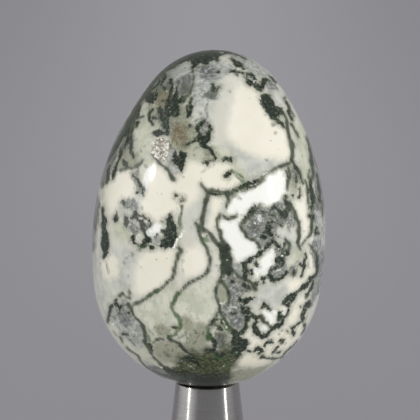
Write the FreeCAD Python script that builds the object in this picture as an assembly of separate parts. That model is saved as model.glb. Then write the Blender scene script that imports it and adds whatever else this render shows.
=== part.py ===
"""A polished stone egg on a turned metal stand.

Millimetres, +Z up, front towards -Y. The origin is the middle of the felt pad's underside, which the
stand rests on, and the stand's axis is the Z axis. The egg's round bottom sits on a soft ring in the
column's mouth, and the egg leans a little towards +X, the way it was set down.
"""

import FreeCAD, Part
import math
import os

# Egg: tangent arcs in the half section, measured from the widest circle
EGG_RADIUS = 16.5
EGG_RISE = 27.0
EGG_DROP = 21.0
EGG_TIP_RADIUS = 10.9
EGG_LOWER_FLANK_RADIUS = 55.0
EGG_LEAN_DEG = 2.9

# Seat: the ring under the egg, and the clear space between the pieces that meet there
RING_SECTION = 1.2
RING_FIT = 0.05
SEAT_GAP = 0.05
LIP_GAP = 0.2

# Column: a tapered bar with a shallow mouth on top and a flared flange at its foot
COLUMN_HEIGHT = 34.0
COLUMN_TOP_RADIUS = 4.5
COLUMN_TAPER_DEG = 6.5
MOUTH_RADIUS = 3.9
LIP_OUTER_ROUND = 0.2
LIP_INNER_ROUND = 0.12
CENTRE_MARK_RADIUS = 1.1
CENTRE_MARK_DEPTH = 0.7
FLARE_RADIUS = 6.0
FLANGE_THICK = 1.4
FLANGE_LAND = 0.9
FLANGE_ROUND = 0.45

# Plate: the round weight that the column is screwed to
PLATE_RADIUS = 19.0
PLATE_THICK = 6.5
PLATE_SHOULDER_ROUND = 2.4
PLATE_HEM_ROUND = 0.4
PLATE_RIM_WIDTH = 1.8
REGISTER_DEPTH = 0.5
REGISTER_FIT = 0.05

# Felt pad under the plate
FELT_THICK = 1.2
FELT_RECESS = 0.7
FELT_FIT = 0.1
FELT_ROUND = 0.2

# Base screw, an M4 with a low round head, and its spring washer
SCREW_RADIUS = 2.0
SCREW_LENGTH = 12.0
SCREW_TIP_CHAMFER = 0.4
HEAD_RADIUS = 3.8
HEAD_HEIGHT = 2.2
HEAD_ROUND = 0.9
HEAD_SINK = 0.3
SOCKET_FLATS = 2.5
SOCKET_DEPTH = 1.2
THREAD_FIT = 0.03
TAP_RUNOUT = 1.6
DRILL_POINT_DEG = 59.0
PLATE_HOLE_FIT = 0.25
WASHER_THICK = 0.9
WASHER_WIDTH = 1.6
WASHER_FIT = 0.1
WASHER_SLIT = 0.6
WASHER_CUT_DEG = 20.0
BORE_FIT = 0.5

FULL_TURN = 360.0
HEX_SIDES = 6
ORIGIN = FreeCAD.Vector(0, 0, 0)
AXIS = FreeCAD.Vector(0, 0, 1)
FRONT_TO_BACK = FreeCAD.Vector(0, 1, 0)
SIDEWAYS = FreeCAD.Vector(1, 0, 0)

# Egg's arcs, each tangent to the next
UPPER_FLANK_RADIUS = (
    EGG_RADIUS**2 + (EGG_RISE - EGG_TIP_RADIUS) ** 2 - EGG_TIP_RADIUS**2
) / (2 * (EGG_RADIUS - EGG_TIP_RADIUS))
BOTTOM_RADIUS = (2 * EGG_RADIUS * EGG_LOWER_FLANK_RADIUS - EGG_RADIUS**2 - EGG_DROP**2) / (
    2 * (EGG_LOWER_FLANK_RADIUS - EGG_DROP)
)
WIDEST_OVER_BOTTOM_CENTRE = EGG_DROP - BOTTOM_RADIUS

# Levels of the stand, from the felt pad's underside up
PLATE_BOTTOM = FELT_THICK - FELT_RECESS
PLATE_TOP = PLATE_BOTTOM + PLATE_THICK
FOOT = PLATE_TOP - REGISTER_DEPTH
LIP = FOOT + COLUMN_HEIGHT
BORE_DEPTH = WASHER_THICK + HEAD_HEIGHT + HEAD_SINK
SCREW_SEAT = FELT_THICK + BORE_DEPTH
HEAD_TOP = SCREW_SEAT - WASHER_THICK
SCREW_TIP = HEAD_TOP + SCREW_LENGTH

# Seat of the egg: its bottom is a ball that the ring and the lip's inner edge both stay clear of
RING_RADIUS = RING_SECTION / 2
RING_MIDDLE_RADIUS = MOUTH_RADIUS - RING_FIT - RING_RADIUS
BALL_CENTRE = LIP + math.sqrt((BOTTOM_RADIUS + LIP_GAP) ** 2 - MOUTH_RADIUS**2)
RING_LEVEL = BALL_CENTRE - math.sqrt(
    (BOTTOM_RADIUS + SEAT_GAP + RING_RADIUS) ** 2 - RING_MIDDLE_RADIUS**2
)
MOUTH_FLOOR = RING_LEVEL - RING_RADIUS - RING_FIT

# Foot of the column: where the taper would meet the flange, and how far the flare carries it out
TAPER = math.radians(COLUMN_TAPER_DEG)
TAPER_FOOT_RADIUS = COLUMN_TOP_RADIUS + (COLUMN_HEIGHT - FLANGE_THICK) * math.tan(TAPER)
FLARE_REACH = FLARE_RADIUS * math.tan((math.pi / 2 - TAPER) / 2)
FLANGE_RADIUS = TAPER_FOOT_RADIUS + FLARE_REACH + FLANGE_LAND
TAPPED_RADIUS = SCREW_RADIUS + THREAD_FIT
TAPPED_TOP = SCREW_TIP + TAP_RUNOUT
DRILL_POINT = TAPPED_RADIUS / math.tan(math.radians(DRILL_POINT_DEG))
FELT_RECESS_RADIUS = PLATE_RADIUS - PLATE_RIM_WIDTH


def section_point(place):
    """A point of the half section, given as (radius, height)."""
    return FreeCAD.Vector(place[0], 0, place[1])


def line(start, end):
    return Part.LineSegment(section_point(start), section_point(end)).toShape()


def arc(start, middle, end):
    return Part.Arc(section_point(start), section_point(middle), section_point(end)).toShape()


def along(start, end, distance):
    """The point that far from start on the way to end."""
    reach = math.dist(start, end)
    return tuple(s + (e - s) * distance / reach for s, e in zip(start, end))


def rounded_corner(before, corner, after, radius):
    """Start, middle and end of the arc that rounds a corner of the half section."""
    way_in = [(b - c) / math.dist(before, corner) for b, c in zip(before, corner)]
    way_out = [(a - c) / math.dist(after, corner) for a, c in zip(after, corner)]
    half_angle = math.acos(sum(i * o for i, o in zip(way_in, way_out))) / 2
    tangent = radius / math.tan(half_angle)
    bisector = [i + o for i, o in zip(way_in, way_out)]
    reach = (radius / math.sin(half_angle) - radius) / math.hypot(*bisector)
    middle = tuple(c + b * reach for c, b in zip(corner, bisector))
    return along(corner, before, tangent), middle, along(corner, after, tangent)


def turned(corners):
    """A solid turned about the Z axis from (radius, height, rounding) corners of its half section."""
    places = [corner[:2] for corner in corners]
    stops = []
    for index, (radius, height, rounding) in enumerate(corners):
        place = (radius, height)
        if rounding:
            after = places[(index + 1) % len(places)]
            stops.append(rounded_corner(places[index - 1], place, after, rounding))
        else:
            stops.append((place, None, place))
    edges = []
    for index, (start, middle, end) in enumerate(stops):
        if middle:
            edges.append(arc(start, middle, end))
        edges.append(line(end, stops[(index + 1) % len(stops)][0]))
    return Part.Face(Part.Wire(edges)).revolve(ORIGIN, AXIS, FULL_TURN)


def on_circle(centre, radius, angle):
    return centre[0] + radius * math.cos(angle), centre[1] + radius * math.sin(angle)


def circle_arc(centre, radius, start, end):
    angles = (start, (start + end) / 2, end)
    return arc(*[on_circle(centre, radius, angle) for angle in angles])


def stone_egg():
    """The egg, its bottom ball centred on the stand's axis and its top leaning towards +X."""
    widest = BALL_CENTRE + WIDEST_OVER_BOTTOM_CENTRE
    tip_centre = (0, widest + EGG_RISE - EGG_TIP_RADIUS)
    upper_centre = (EGG_RADIUS - UPPER_FLANK_RADIUS, widest)
    lower_centre = (EGG_RADIUS - EGG_LOWER_FLANK_RADIUS, widest)
    upper_turn = math.atan2(tip_centre[1] - widest, -upper_centre[0])
    lower_turn = -math.atan2(WIDEST_OVER_BOTTOM_CENTRE, -lower_centre[0])
    edges = [
        circle_arc((0, BALL_CENTRE), BOTTOM_RADIUS, -math.pi / 2, lower_turn),
        circle_arc(lower_centre, EGG_LOWER_FLANK_RADIUS, lower_turn, 0),
        circle_arc(upper_centre, UPPER_FLANK_RADIUS, 0, upper_turn),
        circle_arc(tip_centre, EGG_TIP_RADIUS, upper_turn, math.pi / 2),
        line((0, widest + EGG_RISE), (0, BALL_CENTRE - BOTTOM_RADIUS)),
    ]
    egg = Part.Face(Part.Wire(edges)).revolve(ORIGIN, AXIS, FULL_TURN)
    egg.rotate(FreeCAD.Vector(0, 0, BALL_CENTRE), FRONT_TO_BACK, EGG_LEAN_DEG)
    return egg


def seat_ring():
    return Part.makeTorus(RING_MIDDLE_RADIUS, RING_RADIUS, FreeCAD.Vector(0, 0, RING_LEVEL), AXIS)


def column():
    """The tapered bar: tapped from below, flared at its foot and counterbored on top."""
    return turned([
        (0, TAPPED_TOP + DRILL_POINT, 0),
        (TAPPED_RADIUS, TAPPED_TOP, 0),
        (TAPPED_RADIUS, FOOT, 0),
        (FLANGE_RADIUS, FOOT, 0),
        (FLANGE_RADIUS, FOOT + FLANGE_THICK, FLANGE_ROUND),
        (TAPER_FOOT_RADIUS, FOOT + FLANGE_THICK, FLARE_RADIUS),
        (COLUMN_TOP_RADIUS, LIP, LIP_OUTER_ROUND),
        (MOUTH_RADIUS, LIP, LIP_INNER_ROUND),
        (MOUTH_RADIUS, MOUTH_FLOOR, 0),
        (CENTRE_MARK_RADIUS, MOUTH_FLOOR, 0),
        (0, MOUTH_FLOOR - CENTRE_MARK_DEPTH, 0),
    ])


def base_plate():
    """The round plate: a register on top for the flange, a screw bore and a felt recess below."""
    hole = SCREW_RADIUS + PLATE_HOLE_FIT
    bore = HEAD_RADIUS + BORE_FIT
    register = FLANGE_RADIUS + REGISTER_FIT
    return turned([
        (hole, FOOT, 0),
        (register, FOOT, 0),
        (register, PLATE_TOP, 0),
        (PLATE_RADIUS, PLATE_TOP, PLATE_SHOULDER_ROUND),
        (PLATE_RADIUS, PLATE_BOTTOM, PLATE_HEM_ROUND),
        (FELT_RECESS_RADIUS, PLATE_BOTTOM, 0),
        (FELT_RECESS_RADIUS, FELT_THICK, 0),
        (bore, FELT_THICK, 0),
        (bore, SCREW_SEAT, 0),
        (hole, SCREW_SEAT, 0),
    ])


def felt_pad():
    edge = FELT_RECESS_RADIUS - FELT_FIT
    return turned([
        (0, 0, 0),
        (edge, 0, FELT_ROUND),
        (edge, FELT_THICK, 0),
        (0, FELT_THICK, 0),
    ])


def hex_socket():
    """The hexagonal hole in the screw's head, open downwards."""
    corner = SOCKET_FLATS / 2 / math.cos(math.pi / HEX_SIDES)
    head_bottom = HEAD_TOP - HEAD_HEIGHT
    angles = [index * 2 * math.pi / HEX_SIDES for index in range(HEX_SIDES + 1)]
    points = [
        FreeCAD.Vector(corner * math.cos(angle), corner * math.sin(angle), head_bottom)
        for angle in angles
    ]
    return Part.Face(Part.makePolygon(points)).extrude(AXIS * SOCKET_DEPTH)


def base_screw():
    tip = SCREW_RADIUS - SCREW_TIP_CHAMFER
    body = turned([
        (0, HEAD_TOP - HEAD_HEIGHT, 0),
        (HEAD_RADIUS, HEAD_TOP - HEAD_HEIGHT, HEAD_ROUND),
        (HEAD_RADIUS, HEAD_TOP, 0),
        (SCREW_RADIUS, HEAD_TOP, 0),
        (SCREW_RADIUS, SCREW_TIP - SCREW_TIP_CHAMFER, 0),
        (tip, SCREW_TIP, 0),
        (0, SCREW_TIP, 0),
    ])
    return body.cut(hex_socket())


def spring_washer():
    """A washer with a slanting slit, pressed flat between the screw's head and the plate."""
    inner = SCREW_RADIUS + WASHER_FIT
    outer = inner + WASHER_WIDTH
    ring = turned([
        (inner, HEAD_TOP, 0),
        (outer, HEAD_TOP, 0),
        (outer, SCREW_SEAT, 0),
        (inner, SCREW_SEAT, 0),
    ])
    reach = 2 * WASHER_THICK
    corner = FreeCAD.Vector(0, -WASHER_SLIT / 2, HEAD_TOP - reach)
    slit = Part.makeBox(outer + WASHER_WIDTH, WASHER_SLIT, WASHER_THICK + 2 * reach, corner)
    slit.rotate(FreeCAD.Vector(0, 0, HEAD_TOP + WASHER_THICK / 2), SIDEWAYS, WASHER_CUT_DEG)
    return ring.cut(slit)


PIECES = {
    "stone_egg": stone_egg,
    "seat_ring": seat_ring,
    "column": column,
    "base_plate": base_plate,
    "felt_pad": felt_pad,
    "base_screw": base_screw,
    "spring_washer": spring_washer,
}


def main():
    os.makedirs("parts", exist_ok=True)
    for name, make in PIECES.items():
        shape = make()
        shape.exportStep(os.path.join("parts", name + ".step"))
        box = shape.BoundBox
        print(
            f"{name}: solids {len(shape.Solids)}, valid {shape.isValid()}, volume {shape.Volume:.2f},"
            f" z {box.ZMin:.3f} to {box.ZMax:.3f}, width {box.XLength:.3f}"
        )


main()
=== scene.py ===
"""Dresses a polished stone egg and its turned metal stand, and sets them on a grey studio stage."""

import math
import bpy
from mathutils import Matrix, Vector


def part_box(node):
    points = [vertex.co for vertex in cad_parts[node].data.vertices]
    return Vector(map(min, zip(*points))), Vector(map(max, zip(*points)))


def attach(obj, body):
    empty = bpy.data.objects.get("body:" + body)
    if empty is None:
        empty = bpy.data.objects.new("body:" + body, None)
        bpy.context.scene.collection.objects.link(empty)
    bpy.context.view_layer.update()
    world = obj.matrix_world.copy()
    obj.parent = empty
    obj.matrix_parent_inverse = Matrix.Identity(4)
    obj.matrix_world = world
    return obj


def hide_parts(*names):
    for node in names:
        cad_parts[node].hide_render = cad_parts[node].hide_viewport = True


bl_info = {
    "name": "Stone Egg on Stand",
    "version": (1, 0, 0),
    "blender": (4, 5, 0),
    "location": "View3D > Sidebar > Stone Egg",
    "description": "Builds a polished stone egg, its soft ring and its turned metal stand",
    "category": "Object",
}

import bmesh
import bpy
import numpy as np
from mathutils import Euler, Matrix, Vector, noise

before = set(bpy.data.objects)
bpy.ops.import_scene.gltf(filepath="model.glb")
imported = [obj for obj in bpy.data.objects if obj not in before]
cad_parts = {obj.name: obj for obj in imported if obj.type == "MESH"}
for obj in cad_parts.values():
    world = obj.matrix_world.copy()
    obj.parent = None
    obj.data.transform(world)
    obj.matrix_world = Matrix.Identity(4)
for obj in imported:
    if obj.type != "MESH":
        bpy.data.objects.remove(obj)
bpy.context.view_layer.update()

MM = 0.001
PER_MM = 1 / MM

# The front view: a long lens seen from a little above, in pixels of a 420 by 420 picture
PICTURE_PX = 420
LENS_PX = 3140
SENSOR = 36 * MM
VIEW_DISTANCE = 444.3 * MM
VIEW_ELEVATION = math.radians(12)
EGG_MIDDLE_PX = (209.0, 239.2)
PX = VIEW_DISTANCE / LENS_PX

# Points of each arc of the egg, and of a line of sight where it is searched for the egg's surface
ARC_POINTS = 400
SIGHT_POINTS = 700

# The pattern: points between two given ones, how far from its shapes a layer is measured, and
# the share of depth away from the viewer that counts
PATH_PARTS = 4
FIELD_REACH = 1.6 * MM
DEPTH_SHARE = 0.3

# Small waves that unsettle the pattern's edges: shortest, longest, how many, and their height
WOBBLE_WAVES = (0.7 * MM, 2.4 * MM, 9)
WOBBLE_HEIGHT = 0.035 * MM

# Where the front's patches end, just round the egg's outline: how far, as a cosine, the depth that a
# cosine of 1 stands for, and waves that make the line uneven
WRAP_COSINE = 0.17
WRAP_DEPTH = 16 * MM
WRAP_WAVES = ((0.07, (310, 420, 720)), (0.05, (-530, 900, 1570)))

# Heights between which painted shade darkens the stone towards the ring; the stone is also rougher there
LOW_SHADE_TOP = 45.6 * MM
LOW_SHADE_FULL = 42.6 * MM

# A small open pocket in the stone, with its outline in pixels of the front view, and its crystals
POCKET = [(153,142), (157,138), (163,138), (168,142), (169,149), (167,156), (163,161), (158,159),
          (154,154), (152,148)]
POCKET_DEPTH = 0.25 * MM
POCKET_SLOPE = 0.8 * MM
CRYSTAL_STEP_PX = 2.2
CRYSTAL_STRAY_PX = 0.8
CRYSTAL_SHARE = 0.8
CRYSTAL_TILT = 0.35
CRYSTAL_SIZES = (0.85, 1.7)
CRYSTAL_ROOT = 0.12 * MM
CRYSTAL_RADIUS = 0.17 * MM
CRYSTAL_SIDE = 0.2 * MM
CRYSTAL_POINT = 0.16 * MM
CRYSTAL_TIP_SHARE = 0.25

# Turned pieces: the angle between two points of a rounding, and the least angle of a sharp edge
ROUNDING_STEP = math.radians(9)
SHARP_ANGLE = math.radians(32)

# Clearances, edges and small features of the stand, in millimetres
FIT_GAP = 0.05
RING_PARTS = 40
SEAM_HEIGHT = 0.012
HOLE_GAP = 0.25
BORE_GAP = 0.5
FELT_GAP = 0.1
HEAD_SUNK = 0.3
TAPPED_GAP = 0.03
TAPPED_SPARE = 1.6
DRILL_POINT = math.radians(59)
TAPPED_CHAMFER = 0.35
FLANGE_CHAMFER = 0.15
FLANGE_ROUNDING = 0.45
LIP_ROUNDING = 0.2
MOUTH_ROUNDING = 0.12
CENTRE_MARK_RADIUS = 1.1
CENTRE_MARK_DEPTH = 0.7
HOLE_CHAMFER = 0.2
REGISTER_CHAMFER = 0.1
GROOVE_INWARD = 0.7
GROOVE_HALF_WIDTH = 0.3
GROOVE_HALF_FLOOR = 0.12
GROOVE_DEPTH = 0.18
FINE_ROUNDING = 0.1
PLATE_TOP_ROUNDING = 2.4
PLATE_BOTTOM_ROUNDING = 0.4
BORE_ROUNDING = 0.15
FELT_ROUNDING = 0.3
FELT_UNEVEN = 0.05 * MM
FELT_LUMPS_PER_MM = 1.3

# The screw: thread as shares of its pitch, its plain neck under the head, and its socket
THREAD_DEPTH = 0.61
THREAD_CREST = 0.125
THREAD_ROOT = 0.25
SCREW_NECK = 0.6
SCREW_CHAMFER = 0.4
THREAD_REACH = 0.45
HEAD_ROUNDINGS = (0.15, 0.9)
SOCKET_ACROSS = 2.5
SOCKET_DEPTH = 1.2

# Felt fibres: the turn of each set, and how much finer it is along each axis
FIBRE_SETS = ((0.3, (9, 1, 2)), (1.4, (8, 1.2, 2)), (2.5, (10, 0.9, 2)))

# Soft panels of light in the world: azimuth, cosine of the angle to the panel's edge, added strength
MIRRORED_PANELS = ((-80, 0.62, 3.0), (76, 0.84, 1.2), (0, 0.2, -0.12))
LIGHTING_PANELS = ((-8, 0.0, 2.1), (84, 0.0, 2.9))

# Lamps: azimuth and elevation in degrees, distance from the egg, width and height in metres
LAMPS = {
    "left_lamp": (-70.1, 22.4, 0.6, 0.052, 0.046),
    "right_lamp": (66.4, 13.2, 0.6, 0.05, 0.082),
    "top_lamp": (10, 72, 0.8, 0.6, 0.6),
}
SPOT_HALF_WIDTH = 0.085
SPOT_FADE = (0.06, 0.45)

# The stone's pattern as it is seen from the front, in pixels of the front view.
# A stroke's points are (across, down, half width), and a patch's points are (across, down).
ASH_PATCHES = [
    [(196,62), (210,60), (218,62), (222,72), (224,82), (220,94), (214,104), (212,116), (212,130), (212,144),
     (210,150), (206,146), (204,136), (198,128), (194,112), (193,92), (195,76)],
    [(246,60), (258,63), (268,74), (277,84), (286,96), (290,106), (284,110), (276,104), (268,96), (262,94),
     (268,86), (262,78), (252,72)],
    [(222,144), (232,146), (242,152), (256,157), (270,159), (286,160), (284,164), (274,168), (264,174),
     (256,179), (246,181), (240,174), (232,166), (224,160)],
    [(293,138), (300,138), (303,150), (302,162), (300,170), (296,162), (293,150)],
    [(204,205), (212,204), (220,208), (217,218), (206,226), (204,216)],
    [(184,216), (194,206), (200,206), (199,220), (194,232), (186,228)],
    [(110,250), (124,248), (138,254), (136,270), (132,286), (122,292), (112,286), (108,266)],
    [(92,226), (99,232), (101,250), (104,268), (110,286), (116,300), (108,318), (100,304), (94,276)],
    [(118,204), (130,196), (140,198), (142,210), (138,218), (128,220), (120,216)],
    [(276,282), (290,284), (284,296), (276,308), (262,304), (254,306), (250,298), (258,290)],
    [(280,230), (292,228), (297,240), (298,252), (292,262), (286,262), (280,248), (278,238)],
    [(306,136), (312,160), (320,186), (324,220), (322,260), (318,290), (310,312), (316,280), (318,240),
     (316,200), (308,164)],
    [(170,72), (178,66), (180,80), (176,92), (172,82)],
]
CREAM_PATCHES = [
    [(104,256), (112,256), (118,264), (116,276), (107,278), (103,268)],
    [(214,198), (221,199), (219,210), (216,220), (212,228), (210,224), (211,210)],
    [(186,250), (194,248), (202,250), (206,258), (205,267), (198,272), (188,276), (182,272), (182,260)],
    [(240,84), (248,88), (256,92), (261,99), (264,108), (270,116), (277,121), (284,128), (287,136),
     (289,144), (290,152), (288,159), (280,158), (268,157), (256,155), (246,151), (238,146), (231,140),
     (228,132), (230,118), (234,104), (236,92)],
    [(186,166), (192,163), (198,165), (204,163), (210,166), (217,163), (224,164), (231,168), (236,176),
     (240,182), (236,188), (228,191), (216,189), (206,188), (200,183), (198,190), (196,198), (188,204),
     (182,206), (174,211), (167,214), (163,217), (160,221), (152,222), (146,220), (142,212), (141,203),
     (144,197), (147,186), (148,178), (153,165), (158,165), (163,170), (167,175), (171,181), (177,181),
     (181,176)],
    [(141,257), (146,252), (156,251), (164,250), (172,249), (177,252), (175,258), (173,266), (172,274),
     (168,280), (160,287), (150,292), (141,294), (136,288), (136,276), (138,264)],
    [(118,173), (126,171), (134,169), (136,175), (137,182), (137,190), (134,195), (128,197), (121,200),
     (116,207), (110,213), (108,204), (106,194), (107,186), (112,180)],
    [(300,201), (306,200), (308,208), (308,217), (309,226), (307,235), (303,241), (300,236), (300,228),
     (299,219), (296,211), (294,205)],
    [(301,186), (306,190), (307,198), (301,200)],
    [(248,332), (254,336), (260,340), (268,340), (277,334), (287,326), (288,316), (294,308), (300,300),
     (305,297), (302,308), (297,318), (292,326), (298,326), (304,322), (303,330), (297,339), (291,346),
     (282,354), (270,361), (256,364), (245,364), (238,362), (243,356), (247,351), (249,342)],
    [(308,256), (313,252), (314,264), (313,274), (306,280), (299,288), (291,292), (288,284), (296,279),
     (303,278), (308,268)],
    [(280,310), (286,307), (286,314), (282,316)],
]
WHITE_AND_HIGHLIGHT_PATCHES = [
    [(232,200), (240,194), (254,189), (262,183), (271,175), (279,171), (286,173), (287,184), (284,195),
     (278,201), (270,205), (261,203), (253,208), (247,216), (241,220), (240,228), (245,236), (252,241),
     (258,246), (256,256), (248,260), (238,262), (233,254), (229,246), (224,236), (221,228), (222,220),
     (230,221), (238,216), (232,214), (226,212), (229,206)],
    [(273,248), (275,256), (276,262), (270,267), (267,272), (262,276), (254,277), (254,268), (260,260),
     (267,253)],
    [(260,326), (266,327), (268,330), (260,330)],
    [(262,311), (268,309), (276,311), (277,319), (274,325), (268,322), (262,317)],
    [(148,229), (155,223), (161,225), (163,231), (160,237), (154,236), (150,238), (146,234)],
    [(282,309), (286,309), (286,315), (283,315)],
    # Painted highlight: the soft tail of the left lamp's glare, down and to the left of it
    [(146,170), (151,166), (150,176), (147,188), (144,194), (142,184)],
]
PALE_PATCHES = [
    [(143,106), (147,104), (149,108), (149,114), (150,122), (152,128), (152,140), (150,152), (152,164),
     (146,164), (141,160), (137,158), (135,148), (135,136), (138,127), (142,118)],
    [(151,108), (158,107), (162,117), (163,124), (156,128), (152,120)],
    [(184,148), (194,146), (204,150), (210,154), (206,162), (196,162), (186,166), (185,158)],
    [(292,122), (298,116), (304,130), (307,144), (307,160), (309,180), (306,186), (302,176), (300,160),
     (296,142)],
    [(281,112), (286,112), (288,122), (285,124), (281,118)],
    [(299,250), (303,250), (303,258), (296,262), (290,258), (292,252)],
    [(94,200), (105,192), (104,206), (100,220), (95,226), (93,214)],
    [(113,224), (120,222), (128,229), (128,238), (120,242), (114,234)],
    [(212,150), (222,146), (232,156), (240,166), (248,176), (240,176), (230,168), (220,164), (212,162)],
    [(148,356), (160,364), (152,366), (142,358), (138,346), (145,346)],
]
SAGE_PATCHES = [
    [(135,306), (150,298), (165,289), (176,280), (178,290), (174,300), (171,308), (174,317), (176,325),
     (170,334), (158,339), (149,337), (145,325), (140,317)],
    [(184,290), (196,282), (208,276), (216,284), (215,300), (218,312), (212,322), (208,332), (206,350),
     (190,354), (184,346), (176,340), (182,328), (182,316), (176,306)],
    [(180,102), (187,99), (191,98), (192,122), (197,134), (196,140), (184,150), (174,148), (172,136),
     (172,120)],
    [(120,160), (122,153), (127,148), (131,150), (134,160), (140,163), (136,166), (126,168), (119,169)],
    [(286,102), (292,108), (298,120), (301,132), (297,136), (291,124), (286,112)],
    [(289,168), (296,172), (302,182), (300,198), (292,206), (288,194), (289,180)],
    [(176,206), (181,200), (182,210), (181,226), (180,240), (178,246), (177,228), (175,216)],
    [(97,204), (103,200), (103,212), (101,226), (98,222)],
    [(204,234), (209,236), (214,243), (219,252), (214,256), (209,248)],
    [(288,208), (294,212), (296,224), (290,226), (287,216)],
    [(248,314), (254,318), (254,328), (248,330), (247,322)],
    [(150,330), (160,328), (168,334), (160,340), (150,340)],
    [(284,262), (296,262), (300,272), (292,280), (286,274)],
    [(242,288), (252,288), (256,296), (250,300), (242,298)],
    [(138,336), (146,338), (148,350), (142,352), (136,346)],
    [(152,116), (162,122), (170,128), (172,136), (164,140), (156,138), (152,130)],
]
DEEP_SAGE_PATCHES = [
    [(156,324), (168,326), (172,334), (162,337), (155,332)], [(181,317), (191,318), (194,330), (185,331)],
    [(229,180), (236,177), (243,181), (240,187), (230,188)],
    [(126,153), (135,151), (139,160), (136,168), (127,168)],
    [(155,343), (163,341), (172,342), (179,347), (182,354), (181,360), (175,363), (168,364), (160,360),
     (154,352)],
    [(221,283), (226,289), (228,296), (226,302), (221,304), (218,299), (217,290)],
    [(200,322), (208,328), (207,340), (206,352), (194,355), (184,350), (182,344), (190,334)],
    [(216,330), (226,331), (230,338), (229,348), (222,352), (216,344)],
    [(240,368), (258,368), (274,362), (262,372), (246,380), (232,382), (230,374)],
    [(204,149), (210,150), (213,157), (209,162), (203,160)],
    [(308,204), (316,206), (318,222), (312,228), (309,218)],
    [(318,204), (322,206), (324,230), (320,240), (318,226)],
    [(150,107), (156,104), (163,106), (166,116), (162,124), (154,122), (149,116)],
    [(156,86), (166,82), (172,90), (172,104), (164,110), (156,104)],
    [(172,112), (180,104), (188,108), (190,124), (194,136), (190,148), (180,152), (172,146), (169,130)],
    [(118,158), (122,148), (130,146), (134,156), (132,166), (122,170)],
    [(184,122), (192,122), (196,132), (192,142), (184,146), (180,132)],
    [(224,292), (234,288), (240,294), (236,304), (228,304)], [(290,170), (296,176), (298,186), (292,190)],
    [(222,314), (226,320), (230,328), (226,332), (220,324)],
]
SMOKE_PATCHES = [
    [(179,65), (186,62), (192,64), (193,75), (184,79), (174,80), (168,75), (172,69)],
    [(309,207), (318,209), (328,206), (331,235), (329,262), (322,262), (320,244), (315,236), (313,224)],
    [(194,68), (204,62), (216,62), (228,64), (236,70), (228,74), (222,80), (214,84), (208,92), (202,104),
     (194,106), (192,90)],
    [(222,48), (234,50), (246,56), (258,64), (268,72), (270,80), (262,78), (250,72), (240,66), (230,58)],
    [(199,120), (207,120), (210,130), (207,135), (201,133), (198,126)],
    [(118,301), (128,298), (132,312), (140,322), (145,335), (145,345), (138,350), (128,342), (120,332),
     (112,322), (112,311)],
    [(233,263), (240,262), (244,268), (243,279), (236,274), (231,267)],
    [(152,239), (158,238), (160,245), (154,246)],
    [(228,310), (238,308), (244,316), (243,326), (236,328), (229,320)],
    [(164,150), (173,150), (176,158), (175,164), (179,170), (174,174), (166,166)],
    [(154,82), (158,81), (159,85), (154,87)], [(136,104), (138,102), (137,108), (134,112)],
    [(244,268), (250,264), (250,280), (245,282)], [(146,360), (154,364), (162,368), (152,369), (145,365)],
    [(250,64), (258,66), (264,74), (258,76), (252,72)], [(315,236), (319,240), (318,250), (313,248)],
    [(242,306), (250,302), (250,310), (246,311)],
]
TAN_PATCHES = [
    [(172,127), (180,123), (187,130), (188,140), (182,146), (175,143), (171,136)],
    [(158,91), (164,90), (168,96), (168,103), (162,108), (157,104), (156,97)],
]
GRIT_PATCHES = [
    [(129,222), (137,221), (140,231), (134,235), (129,230)],
    [(207,90), (215,87), (219,96), (214,101), (206,99)],
    [(231,305), (240,304), (246,312), (247,324), (243,334), (236,332), (231,322), (228,312)],
    [(221,304), (227,304), (229,311), (227,318), (222,315)],
    [(285,209), (291,207), (295,214), (296,224), (291,228), (286,224), (284,216)],
    [(122,203), (129,199), (136,200), (138,206), (134,210), (127,209)],
    [(131,170), (137,172), (140,180), (142,188), (140,194), (136,190), (133,182), (131,177)],
    [(260,206), (268,208), (274,204), (284,202), (290,206), (288,220), (280,226), (276,236), (272,244),
     (266,250), (262,248), (258,242), (250,238), (243,230), (242,221), (250,214), (255,208)],
    [(224,278), (232,275), (240,280), (248,284), (254,288), (250,292), (242,296), (238,304), (230,306),
     (224,306), (229,300), (229,292), (225,286)],
    [(198,66), (210,64), (216,70), (216,78), (206,80), (199,76)],
    [(275,252), (284,250), (286,256), (283,266), (274,270), (270,268), (276,262)],
    [(270,272), (284,266), (288,270), (282,278), (272,282), (268,276)],
    [(288,268), (293,264), (297,266), (296,274), (291,277)],
    [(267,82), (274,80), (278,88), (272,92), (267,89)],
    [(118,306), (128,304), (132,316), (130,326), (120,322)],
    [(291,166), (297,170), (301,178), (298,182), (292,176)],
    [(286,298), (296,294), (296,298), (288,304), (282,304)],
    [(310,246), (317,240), (324,252), (326,270), (320,290), (313,304), (308,306), (313,290), (316,272),
     (312,258)],
    [(310,206), (315,208), (315,222), (311,222)], [(199,122), (207,121), (209,132), (202,134)],
    [(162,122), (168,122), (171,132), (166,134)],
]
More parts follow.
